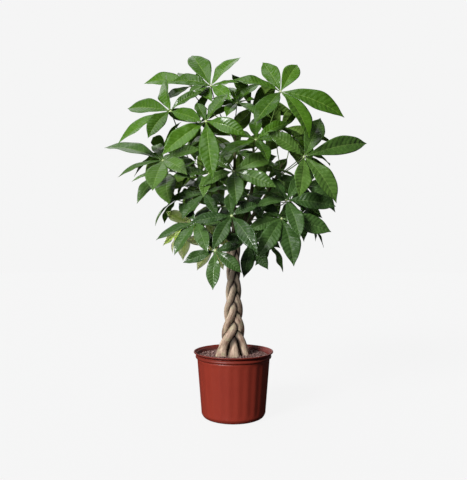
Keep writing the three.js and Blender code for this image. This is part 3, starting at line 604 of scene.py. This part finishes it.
bit_form = bmesh.new()
bmesh.ops.create_icosphere(bit_form, subdivisions=1, radius=1)
bit_points = np.array([v.co for v in bit_form.verts])
bit_faces = np.array([[v.index for v in f.verts] for f in bit_form.faces])
bit_form.free()
bits = random.Random(11)
all_points = [soil_points]
first = len(soil_points)
for _ in range(SOIL_BITS):
    is_chip = bits.random() < 0.4
    size = bits.uniform(2.8, 6.6) if is_chip else bits.uniform(1.3, 3.3)
    distance = (wall_top - size - 1) * math.sqrt(bits.random())
    angle = bits.uniform(0, 2 * math.pi)
    x, y = distance * math.sin(angle), -distance * math.cos(angle)
    shape = (1, bits.uniform(0.45, 0.75), bits.uniform(0.22, 0.4)) if is_chip else (1, 0.85, 0.75)
    turn = Euler((bits.uniform(-0.5, 0.5), bits.uniform(-0.5, 0.5), bits.uniform(0, 6.28)))
    jitter = np.array([[bits.uniform(0.72, 1.22)] for _ in bit_points])
    form = (bit_points * jitter * size * shape) @ np.array(turn.to_matrix()).T
    all_points.append(form + (x, y, soil_height(x, y) + 0.25 * size))
    soil_faces.extend((bit_faces + first).tolist())
    soil_is_flat.extend([True] * len(bit_faces))
    soil_tones.extend([bits.random() ** 2.4] * len(bit_points))
    first += len(bit_points)

# Damp peat and bark: dark brown with a purplish cast, rough, with paler dry chips among it
potting_mix, tree, shader = start_material("potting_mix", Roughness=0.88, IOR=1.35)
place = add_node(tree, "TexCoord").outputs["Object"]
grain = add_node(tree, "TexNoise", {
    "Vector": place, "Scale": 1 / 0.0035, "Detail": 8.0, "Roughness": 0.7})
peat = add_node(tree, "Mix", {
    0: grain, 6: linear("#35221e"), 7: linear("#8a665f")}, data_type="RGBA")
dry_bark = add_node(tree, "Mix", {
    0: grain, 6: linear("#80605a"), 7: linear("#bb9f99")}, data_type="RGBA")
dryness = add_node(tree, "Attribute", attribute_name="dryness")
mix_colour = add_node(tree, "Mix", {
    0: dryness.outputs["Fac"], 6: peat, 7: dry_bark}, data_type="RGBA")
mix_relief = add_node(tree, "Bump", {"Height": grain, "Strength": 0.8, "Distance": 0.0012})
set_inputs(shader, {"Base Color": mix_colour, "Normal": mix_relief})

soil = add_piece("potting_soil", np.concatenate(all_points), soil_faces, [potting_mix],
                 is_flat=soil_is_flat)
set_points(soil, "dryness", soil_tones)
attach(soil, "root")
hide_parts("soil")


# Leaves: each is one palmate leaf on a long slim stalk, with 4 to 6 leathery leaflets round a small
# pale knob. A leaflet is drawn to a point, folded along its midrib, and ribbed and waved by its
# side veins. The leaves are numbered from the top of the crown down, and the last eight are inside.
PETIOLE_CURVE = 0.3
PETIOLE_RISE = 0.18
STALK_RADIUS = 1.55
STALK_FOOT_RADIUS = 2.7
STALK_SIDES = 12
STALK_RINGS = 30
HUB_HEIGHT = 3
BLADE_FOLD = math.radians(13)
WAVES_ALONG = 2.3
WAVE_HEIGHT = (0.8, 3.2)
ARCH_DEGREES = (18, 52)
ROLL_DEGREES = (-20, 20)
BROADNESS = (0.31, 0.39)
LEAST_WIDTH = 34
SIDE_VEINS = 13
ROWS_PER_VEIN = 3
VEIN_SLANT = 0.4
RIB_HEIGHT = 0.24
CURL_HEIGHT = (0.5, 2)
CURLS_ALONG = 2.9
BLADE_HALF_THICKNESS = 0.3
GROOVE_DEPTH = 0.35
KEEL_HEIGHT = (1.15, 0.25)

# Where each hub is, the way its leaf faces (turned, then tipped up, in degrees), the stem and the
# height that its stalk grows from, and each leaflet's clock angle and length, then, where it stands
# out, its roll and its width as a share of its length
LEAVES = [dict(zip(("hub", "faces", "grows", "leaflets"), row)) for row in (
    ((-135, 0, 1055), (-10, 50), (1, 925),
     [(281, 170), (330, 120), (25, 120), (135, 150), (215, 120)]),
    ((-70, -60, 1040), (-10, 40), (1, 890),
     [(333, 196), (28, 166, 14), (282, 136), (83, 90), (144, 110), (215, 100)]),
    ((60, 110, 1010), (160, 55), (1, 935),
     [(10, 150), (80, 130), (140, 150), (195, 160), (250, 150), (310, 140)]),
    ((140, -130, 1005), (15, 35), (3, 835),
     [(346, 134, 37, 0.4), (32, 156), (118, 206, -15), (158, 200), (217, 180), (284, 150)]),
    ((10, -20, 995), (0, 55), (1, 950),
     [(27, 140), (80, 90), (355, 140), (293, 95), (197, 110), (150, 120)]),
    ((-120, 150, 965), (-150, 45), (4, 835),
     [(5, 130), (75, 140), (140, 160), (195, 170), (255, 150), (310, 130)]),
    ((-185, -160, 940), (-25, 40), (0, 795),
     [(282, 172), (333, 190, 33), (47, 110, -35), (117, 144), (224, 182), (194, 120, 26, 0.42)]),
    ((160, 130, 940), (130, 40), (2, 795),
     [(0, 120), (60, 140), (120, 150), (180, 170), (240, 150), (300, 130)]),
    ((-78, -220, 898), (-5, 30), (3, 790),
     [(171, 206, 0, 0.28), (224, 165), (29, 120), (115, 130), (336, 80)]),
    ((20, 250, 885), (175, 30), (4, 815),
     [(10, 120), (70, 130), (125, 150), (180, 180), (235, 150), (300, 120)]),
    ((-225, 100, 870), (-110, 40), (4, 790),
     [(15, 110), (80, 130), (150, 150), (200, 160), (270, 140)]),
    ((67, -115, 864), (0, 50), (3, 842),
     [(2, 140), (42, 130), (105, 96), (227, 150), (295, 104), (165, 130)]),
    ((240, 90, 850), (100, 40), (2, 770),
     [(0, 120), (65, 140), (130, 150), (185, 150), (240, 140), (300, 130)]),
    ((205, -170, 805), (20, 25), (2, 740),
     [(31, 170), (308, 130), (75, 238, 0, 0.25), (155, 168), (198, 145)]),
    ((-210, -130, 800), (-15, 50), (0, 735),
     [(291, 245, 2, 0.28), (330, 108), (174, 158, 0, 0.42), (234, 144, -29), (64, 120),
      (130, 130)]),
    ((-120, 260, 795), (-155, 25), (4, 750),
     [(0, 110), (55, 130), (110, 150), (170, 170), (230, 150), (300, 120)]),
    ((120, 250, 780), (155, 25), (2, 715),
     [(20, 120), (80, 140), (135, 150), (185, 160), (245, 140), (310, 120)]),
    ((-210, -20, 775), (-30, 45), (0, 700),
     [(150, 180), (195, 150), (105, 150), (255, 130), (330, 110)]),
    ((0, -190, 760), (5, 40), (3, 700),
     [(118, 136), (63, 150), (180, 134), (236, 110), (313, 100)]),
    ((-70, -190, 755), (-10, 40), (0, 675), [(182, 98), (264, 110), (133, 100), (20, 95)]),
    ((215, -60, 735), (30, 40), (2, 700),
     [(150, 134, -35), (96, 132), (44, 150), (281, 90), (209, 130)]),
    ((-190, 90, 700), (-95, 35), (4, 680),
     [(20, 110), (95, 120), (160, 120), (215, 120), (290, 120)]),
    ((45, -90, 700), (10, 50), (3, 650), [(97, 105), (169, 124), (243, 100), (330, 94)]),
    ((-85, -140, 700), (-20, 40), (0, 645),
     [(204, 112), (257, 114), (145, 110), (80, 84), (336, 90)]),
    ((200, 180, 700), (130, 25), (2, 685),
     [(0, 110), (70, 140), (130, 150), (180, 160), (240, 140), (310, 120)]),
    ((-40, 270, 690), (180, 20), (4, 660),
     [(10, 110), (70, 140), (130, 150), (180, 160), (235, 140), (300, 120)]),
    ((155, -150, 680), (20, 40), (2, 665),
     [(107, 150, -29, 0.38), (181, 150, -30), (254, 110), (349, 100), (52, 130)]),
    ((225, 45, 650), (75, 30), (2, 640),
     [(15, 110), (95, 130), (160, 140), (215, 130), (290, 120)]),
    ((-5, -250, 630), (0, 35), (3, 605), [(259, 118), (204, 126), (151, 144), (63, 86), (353, 80)]),
    ((140, -170, 625), (15, 30), (2, 615),
     [(107, 154), (177, 158), (208, 166), (234, 120), (310, 90)]),
    ((-150, 190, 620), (-140, 20), (4, 630),
     [(10, 100), (70, 120), (130, 130), (180, 140), (240, 130), (310, 110)]),
    ((-105, -190, 615), (-15, 35), (0, 615),
     [(240, 130), (201, 125), (162, 120), (315, 100), (100, 90)]),
    ((60, 230, 605), (165, 15), (1, 630),
     [(15, 100), (75, 130), (135, 130), (180, 140), (235, 130), (300, 110)]),
    ((-65, 190, 555), (-165, 15), (4, 600),
     [(20, 90), (85, 110), (150, 120), (200, 110), (270, 110)]),
    ((120, 145, 560), (140, 15), (1, 600),
     [(10, 90), (80, 120), (140, 120), (200, 120), (280, 110)]),
    ((50, -165, 555), (5, 20), (2, 590), [(193, 110), (150, 96), (60, 70), (283, 80)]),
    ((-51, -245, 533), (-5, 20), (0, 590),
     [(181, 114), (248, 96), (130, 100), (78, 76), (331, 76)]),
    ((-20, 75, 850), (10, 65), (1, 790),
     [(0, 120), (60, 120), (120, 130), (180, 130), (240, 130), (300, 120)]),
    ((110, -20, 790), (50, 60), (3, 745),
     [(10, 120), (75, 120), (140, 120), (205, 120), (280, 120)]),
    ((-115, 50, 735), (-50, 55), (4, 690),
     [(10, 120), (80, 120), (145, 130), (210, 130), (285, 120)]),
    ((55, 90, 690), (120, 50), (1, 655),
     [(10, 110), (80, 120), (145, 120), (210, 120), (285, 110)]),
    ((-25, -95, 665), (-10, 55), (3, 625),
     [(20, 90), (95, 110), (165, 120), (235, 110), (310, 90)]),
    ((-150, 60, 860), (-70, 60), (4, 800),
     [(10, 120), (80, 130), (145, 140), (210, 140), (285, 120)]),
    ((190, 40, 900), (70, 60), (2, 805),
     [(10, 120), (80, 130), (145, 140), (210, 140), (285, 120)]),
    ((-150, 30, 610), (-80, 30), (0, 630),
     [(10, 90), (85, 110), (150, 120), (210, 110), (285, 100)]),
)]

# The ways in which a leaflet or a stalk can be bent clear of its neighbours
TURNS = (0, -8, 8, -16, 16)
LIFTS = (0, 9, -9, 18, -18, 28, -28, 40)
SHORTENINGS = (1, 0.86, 0.72)
SWAYS = ((0, 0), (14, 0), (-14, 0), (0, 14), (0, -14), (26, 0), (-26, 0), (0, 28), (40, 10),
         (-40, 10))


def leaf_basis(faces):
    """The way a leaf faces, its right and its up."""
    turn, tip = math.radians(faces[0]), math.radians(faces[1])
    facing = np.array([math.sin(turn) * math.cos(tip), -math.cos(turn) * math.cos(tip),
                       math.sin(tip)])
    right = np.array([math.cos(turn), math.sin(turn), 0])
    return facing, right, np.cross(facing, right)


def stalk_points(leaf, sway, t):
    """The middle line of a leaf's stalk: out of the shoot, then up to the back of the hub."""
    facing, _, _ = leaf_basis(leaf["faces"])
    hub = np.array(leaf["hub"], float)
    start = stem_centre(*leaf["grows"])
    reach = np.linalg.norm(hub - start)
    outward = unit((hub - start) * (1, 1, 0))
    sideways = np.array([-outward[1], outward[0], 0])
    lift = np.array([0, 0, 1])
    leaving = (start + outward * PETIOLE_CURVE * reach + sideways * sway[0]
               + lift * (PETIOLE_RISE * reach + sway[1]))
    arriving = hub - facing * PETIOLE_CURVE * reach + sideways * sway[0] + lift * sway[1]
    t = np.asarray(t, float)[..., None]
    return ((1 - t) ** 3 * start + 3 * (1 - t) ** 2 * t * leaving + 3 * (1 - t) * t ** 2 * arriving
            + t ** 3 * hub)


def leaflet_form(leaf_index, index):
    """One leaflet's own form, in the same order of draws as the solid's."""
    chance = draws(leaf_index * 12 + index + 1)
    clock, length, roll, broadness = (*LEAVES[leaf_index]["leaflets"][index], None, None)[:4]
    usual_broadness = mix(*BROADNESS, next(chance))
    return {
        "clock": clock,
        "length": length,
        "width": max(length * (broadness or usual_broadness), LEAST_WIDTH),
        "arch": math.radians(mix(*ARCH_DEGREES, next(chance))),
        "roll": math.radians(mix(*ROLL_DEGREES, next(chance)) + (roll or 0)),
        "wave": mix(*WAVE_HEIGHT, next(chance) ** 2),
        "phases": (next(chance), next(chance)),
        "tone": next(chance),
        "curl": next(chance),
    }


def half_width(t):
    """Half the blade's width as a share of its width: slim, widest past the middle, and pointed."""
    t = np.clip(t, 0, 1)
    return 0.5 * np.sin(np.pi * t ** 1.16) ** 1.1 * (1 - 0.3 * smooth(0.82, 1, t))


def turned_towards(direction, other, angle):
    """A direction turned by an angle towards another that is square to it."""
    angle = np.asarray(angle)[..., None]
    return direction * np.cos(angle) + other * np.sin(angle)


def leaflet_surface(leaf, form, bend, t, s):
    """The blade's middle surface and its normals, at t along it and s across it (-1 to 1)."""
    facing, right, up = leaf_basis(leaf["faces"])
    out = turned_towards(up, right, math.radians(form["clock"] + bend["turn"]))
    side = np.cross(out, facing)
    lift = math.radians(bend["lift"])
    chord = turned_towards(out, facing, lift)
    lifted = turned_towards(facing, out, -lift)
    length = form["length"] * bend["short"]
    radius = length / (2 * math.sin(form["arch"] / 2))
    angle = form["arch"] * (t - 0.5)
    middle = (np.array(leaf["hub"], float)
              + chord * (length / 2 + radius * np.sin(angle))[..., None]
              + lifted * (radius * (np.cos(angle) - math.cos(form["arch"] / 2)))[..., None])
    flat = turned_towards(lifted, chord, angle)
    roll = form["roll"] * smooth(0, 0.3, t)
    across = turned_towards(side, flat, roll)
    normal = turned_towards(flat, side, -roll)
    half = np.abs(s) * np.maximum(form["width"] * bend["short"] * half_width(t),
                                  np.where(t < 0.5, 2, 0))
    phase = np.where(s < 0, form["phases"][0], form["phases"][1])
    ripple = np.sin(np.pi * t) * np.sin(2 * np.pi * (WAVES_ALONG * t + phase))
    raised = half * math.sin(BLADE_FOLD) + form["wave"] * np.abs(s) * ripple
    points = (middle + across * (np.sign(s) * half * math.cos(BLADE_FOLD))[..., None]
              + normal * raised[..., None])
    return points, normal, half


def find_bend(leaf, form, corners):
    """The bend that puts a leaflet's tip on a corner of the solid leaf, or none if it has none."""
    found, nearest = None, 0.4
    for short in SHORTENINGS:
        for lift in LIFTS:
            for turn in TURNS:
                bend = {"turn": turn, "lift": lift, "short": short}
                tip, _, _ = leaflet_surface(leaf, form, bend, np.array(1.0), np.array(0.0))
                miss = np.linalg.norm(corners - tip, axis=1).min()
                if miss < nearest:
                    found, nearest = bend, miss
    return found


def find_sway(leaf, corners):
    """The sway that runs the stalk's middle line along the inside of the solid stalk."""
    def miss(sway):
        path = stalk_points(leaf, sway, [0.4, 0.6, 0.8])
        return np.linalg.norm(corners[None] - path[:, None], axis=2).min(axis=1).max()
    return min(SWAYS, key=miss)


def leaf_material(name, deep, bright, vein, under, through=0.0):
    """The finishes of a leaf's upper face and underside. through is the share of light let in."""
    made = []
    for face, first, second, roughness, coat in (
            ("upper", deep, bright, 0.39, 0.4), ("under", under, under, 0.5, 0.0)):
        material, tree, shader = start_material(
            f"{name}_{face}", IOR=1.45, Specular_IOR_Level=0.18, Coat_Weight=coat,
            Coat_Roughness=0.17, Subsurface_Weight=through, Subsurface_Radius=(0.7, 1.0, 0.4),
            Subsurface_Scale=0.01)
        place = add_node(tree, "TexCoord").outputs["Object"]
        blade = add_node(tree, "UVMap", uv_map="along_blade")
        shares = add_node(tree, "SeparateXYZ", {0: blade})
        tone = add_node(tree, "Attribute", attribute_name="tone")
        mottle = add_node(tree, "TexNoise", {
            "Vector": place, "Scale": 1 / 0.018, "Detail": 5.0, "Roughness": 0.6})
        tone_sum = add_node(tree, "Math", {
            0: mottle, 1: 0.7, 2: tone.outputs["Fac"]}, operation="MULTIPLY_ADD")
        tone_share = add_node(tree, "MapRange", {
            "Value": tone_sum, "From Min": 0.25, "From Max": 1.35})
        green = add_node(tree, "Mix", {
            0: tone_share, 6: linear(first), 7: linear(second)}, data_type="RGBA")
        # A side vein lies on each third row of the blade's mesh, and the midrib along its middle
        counted = add_node(tree, "Math", {
            0: shares.outputs["X"], 1: float(SIDE_VEINS)}, operation="MULTIPLY")
        to_vein = add_node(tree, "Math", {0: counted, 1: 0.5}, operation="PINGPONG")
        vein_line = add_node(tree, "MapRange", {
            "Value": to_vein, "From Min": 0.1, "From Max": 0.0})
        off_middle = add_node(tree, "Math", {0: shares.outputs["Y"], 1: 0.5}, operation="SUBTRACT")
        from_middle = add_node(tree, "Math", {0: off_middle}, operation="ABSOLUTE")
        fading = add_node(tree, "MapRange", {
            "Value": from_middle, "From Min": 0.48, "From Max": 0.1, "To Max": 0.22})
        vein_share = add_node(tree, "Math", {0: vein_line, 1: fading}, operation="MULTIPLY")
        midrib = add_node(tree, "MapRange", {
            "Value": from_middle, "From Min": 0.026, "From Max": 0.008, "To Max": 0.45})
        rib_share = add_node(tree, "Math", {0: vein_share, 1: midrib}, operation="MAXIMUM")
        petiolule = add_node(tree, "MapRange", {
            "Value": shares.outputs["X"], "From Min": 0.07, "From Max": 0.015})
        pale_share = add_node(tree, "Math", {0: rib_share, 1: petiolule}, operation="MAXIMUM")
        colour = add_node(tree, "Mix", {
            0: pale_share, 6: green, 7: linear(vein)}, data_type="RGBA")
        rough = add_node(tree, "MapRange", {
            "Value": mottle, "To Min": roughness - 0.07, "To Max": roughness + 0.1})
        puffed = add_node(tree, "MapRange", {
            "Value": to_vein, "From Max": 0.5}, interpolation_type="SMOOTHSTEP")
        # The blade is uneven over some 20 mm, which breaks its sheen into patches
        swell = add_node(tree, "TexNoise", {"Vector": place, "Scale": 1 / 0.02, "Detail": 1.0})
        uneven = add_node(tree, "Bump", {"Height": swell, "Strength": 0.8, "Distance": 0.006})
        relief = add_node(tree, "Bump", {
            "Height": puffed, "Strength": 0.75, "Distance": 0.0009, "Normal": uneven})
        set_inputs(shader, {"Base Color": colour, "Roughness": rough, "Normal": relief})
        made.append(material)
    return made


# Leathery leaf with a waxy upper face, in copies with painted light and shade: the leaves high and
# far out are a bright lit green, partly also the fresh green of young leaves, those lower and on
# the right a deeper, bluer painted shade, and a few thin ones low at the back let light through and
# are painted pale, a painted glow of light from behind
leaf_finishes = {
    "brightly_lit": leaf_material("brightly_lit_leaf", "#31530d", "#4a7415", "#86a54a", "#6b8c3c"),
    "half_lit": leaf_material("half_lit_leaf", "#3a5a22", "#54762f", "#839f54", "#5e7f3a"),
    "shaded": leaf_material("shaded_leaf", "#2f4b20", "#47672f", "#789658", "#4f7236"),
    "thin_backlit": leaf_material("thin_backlit_leaf", "#84b44a", "#b2da74", "#cfe8a0", "#aed672", through=1.0),
}
THIN_BACKLIT_LEAVES = (31, 34, 45)
LIT_FROM_TO = (560, 1000)
CROWN_RADIUS = 230
RIGHT_SIDE = 100
LOW_FROM_TO = (680, 800)
SHADE_MIDDLE = 30
SHADE_WIDTH = 80
LEFT_FROM_TO = (30, 120)

# Smooth green stalk, paler and creamy at the knob where the leaflets meet
stalk_green, tree, shader = start_material("leaf_stalk", Roughness=0.42, IOR=1.42)
place = add_node(tree, "TexCoord").outputs["Object"]
fleck = add_node(tree, "TexNoise", {"Vector": place, "Scale": 1 / 0.004, "Detail": 4.0})
stalk_run = add_node(tree, "UVMap", uv_map="along_blade")
run_share = add_node(tree, "SeparateXYZ", {0: stalk_run})
stalk_base = add_node(tree, "Mix", {
    0: fleck, 6: linear("#4d6b2c"), 7: linear("#7d9a4c")}, data_type="RGBA")
creamy = add_node(tree, "MapRange", {
    "Value": run_share.outputs["X"], "From Min": 0.8, "From Max": 0.98})
stalk_colour = add_node(tree, "Mix", {
    0: creamy, 6: stalk_base, 7: linear("#c3d198")}, data_type="RGBA")
set_inputs(shader, {"Base Color": stalk_colour})

ACROSS = np.array([-1, -0.82, -0.62, -0.42, -0.22, -0.07, 0, 0.07, 0.22, 0.42, 0.62, 0.82, 1])
ROWS = SIDE_VEINS * ROWS_PER_VEIN
UPPER, UNDER, STALK = 0, 1, 2


def leaflet_mesh(leaf, form, bend):
    """A leaflet's two faces and its rim. The rows of the mesh run out along the side veins."""
    row = np.arange(1, ROWS)[:, None] / ROWS
    s = np.broadcast_to(ACROSS, (ROWS - 1, len(ACROSS)))
    t = row + VEIN_SLANT * np.abs(s) ** 1.3 * row * (1 - row) + 0 * s
    points, normal, half = leaflet_surface(leaf, form, bend, t, s)
    inner = np.abs(s)
    ribs = RIB_HEIGHT * np.cos(2 * np.pi * SIDE_VEINS * row) * inner ** 0.5 * (1 - inner ** 4)
    ribs = -ribs * smooth(2, 9, half.max(axis=1, keepdims=True))
    phase = form["phases"][1] + np.sign(s) * form["phases"][0]
    curl = (mix(*CURL_HEIGHT, form["curl"]) * inner ** 3
            * np.sin(2 * np.pi * (CURLS_ALONG * t + phase)) * np.sin(np.pi * t))
    points = points + normal * (ribs + curl)[..., None]
    thick = BLADE_HALF_THICKNESS * (1 - 0.6 * inner ** 2)
    groove = GROOVE_DEPTH * np.exp(-(inner * 12) ** 2)
    keel = mix(*KEEL_HEIGHT, row) * np.exp(-(inner * 9) ** 2)
    upper = points + normal * (thick - groove)[..., None]
    under = points - normal * (thick + keel)[..., None]
    tip, _, _ = leaflet_surface(leaf, form, bend, np.array([1.0]), np.array([0.0]))
    columns = len(ACROSS)
    count = (ROWS - 1) * columns
    points = np.concatenate([upper.reshape(-1, 3), under.reshape(-1, 3), tip])
    upper_faces = grid_faces(ROWS - 1, columns)
    under_faces = [face[::-1] for face in grid_faces(ROWS - 1, columns, first=count)]
    rim_faces = []
    for i in range(ROWS - 2):
        for edge in (0, columns - 1):
            here, after = i * columns + edge, (i + 1) * columns + edge
            rim = [here, after, count + after, count + here]
            rim_faces.append(rim if edge else rim[::-1])
    last = (ROWS - 2) * columns
    for j in range(columns - 1):
        rim_faces.append([j, j + 1, count + j + 1, count + j])
        upper_faces.append([last + j, last + j + 1, 2 * count])
        under_faces.append([count + last + j + 1, count + last + j, 2 * count])
    for edge in (0, columns - 1):
        rim_faces.append([last + edge, 2 * count, count + last + edge])
    faces = upper_faces + under_faces + rim_faces
    slots = [UPPER] * len(upper_faces) + [UNDER] * (len(under_faces) + len(rim_faces))
    is_flat = [False] * (len(upper_faces) + len(under_faces)) + [True] * len(rim_faces)
    place = np.stack([row + 0 * s, 0.5 + 0.5 * s], axis=-1).reshape(-1, 2)
    return points, faces, slots, is_flat, np.concatenate([place, place, [[1, 0.5]]])


def stalk_mesh(leaf, sway):
    """A stalk, thicker at its foot and under the hub, and the low knob of the hub on its end."""
    facing, _, up = leaf_basis(leaf["faces"])
    stem, start_height = leaf["grows"]
    t = np.linspace(0, 1, STALK_RINGS)
    centres = stalk_points(leaf, sway, t)
    along = unit(stalk_points(leaf, sway, np.minimum(t + 0.01, 1))
                 - stalk_points(leaf, sway, np.maximum(t - 0.01, 0)))
    foot = min(STALK_FOOT_RADIUS, 0.6 * float(stem_radius(stem, start_height)))
    radii = (STALK_RADIUS + (foot - STALK_RADIUS) * np.exp(-(t / 0.06) ** 2)
             + 0.7 * smooth(0.93, 1, t))
    knob = np.array([(3.0, 0.2), (4.2, 1.4), (4.1, 2.6), (2.9, 3.5), (1.2, 3.9)])
    hub = np.array(leaf["hub"], float)
    knob_centres = hub + facing * (knob[:, 1:] - HUB_HEIGHT / 2)
    centres = np.concatenate([centres[:-1], hub - facing[None] * HUB_HEIGHT, knob_centres])
    along = np.concatenate([along, np.repeat(facing[None], len(knob), axis=0)])
    radii = np.concatenate([radii, knob[:, 0]])
    lead = unit(up - along * (along @ up)[:, None])
    rings = tube_points(centres, along, lead, radii, radii, STALK_SIDES)
    points = np.concatenate([rings.reshape(-1, 3), centres[:1], centres[-1:] + facing * 0.15])
    faces = tube_faces(len(centres), STALK_SIDES)
    run = np.concatenate([t[:-1] * 0.98, np.ones(len(knob) + 1)])
    turn = np.arange(STALK_SIDES) / STALK_SIDES
    place = np.stack(np.broadcast_arrays(run[:, None], turn[None, :]), axis=-1).reshape(-1, 2)
    place = np.concatenate([place, [[0, 0], [1, 0]]])
    return points, faces, [STALK] * len(faces), [False] * len(faces), place


for number, leaf in enumerate(LEAVES, start=1):
    node = f"leaf_{number:02d}"
    corners = np.array([v.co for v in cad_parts[node].data.vertices]) / MILLIMETRE
    parts = [(stalk_mesh(leaf, find_sway(leaf, corners)), 0.5)]
    for index in range(len(leaf["leaflets"])):
        form = leaflet_form(number - 1, index)
        bend = find_bend(leaf, form, corners)
        if bend:
            parts.append((leaflet_mesh(leaf, form, bend), form["tone"]))
    points, faces, slots, is_flat, places, tones = [], [], [], [], [], []
    first = 0
    for (part_points, part_faces, part_slots, part_is_flat, part_place), tone in parts:
        points.append(part_points)
        places.append(part_place)
        tones += [tone] * len(part_points)
        faces += [[first + corner for corner in face] for face in part_faces]
        slots += part_slots
        is_flat += part_is_flat
        first += len(part_points)
    x, y, z = leaf["hub"]
    # A leaf is painted lighter, as if better lit, the higher and the farther out it grows, and
    # darker on the right, away from the light; high up this is partly also the fresher green of
    # young leaves
    lit_share = (float(smooth(*LIT_FROM_TO, z)) + 0.25 * math.hypot(x, y) / CROWN_RADIUS
                 - (0.2 if x > RIGHT_SIDE else 0))
    finish = "brightly_lit" if lit_share > 0.85 else "half_lit" if lit_share > 0.45 else "shaded"
    if number in THIN_BACKLIT_LEAVES:
        finish = "thin_backlit"
    # Low in the middle a painted shade darkens it, and low on the left a painted light makes it
    # paler
    low = 1 - float(smooth(*LOW_FROM_TO, z))
    painted_light_and_shade = low * (0.5 * math.exp(-((x - SHADE_MIDDLE) / SHADE_WIDTH) ** 2)
                    - 0.35 * float(smooth(*LEFT_FROM_TO, -x)))
    piece = add_piece(f"palmate_{node}", np.concatenate(points), faces,
                      [*leaf_finishes[finish], stalk_green], slots=slots, is_flat=is_flat)
    set_points(piece, "tone", np.array(tones, np.float32) - painted_light_and_shade)
    set_map(piece, "along_blade", np.concatenate(places))
    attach(piece, "root")
    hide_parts(node)
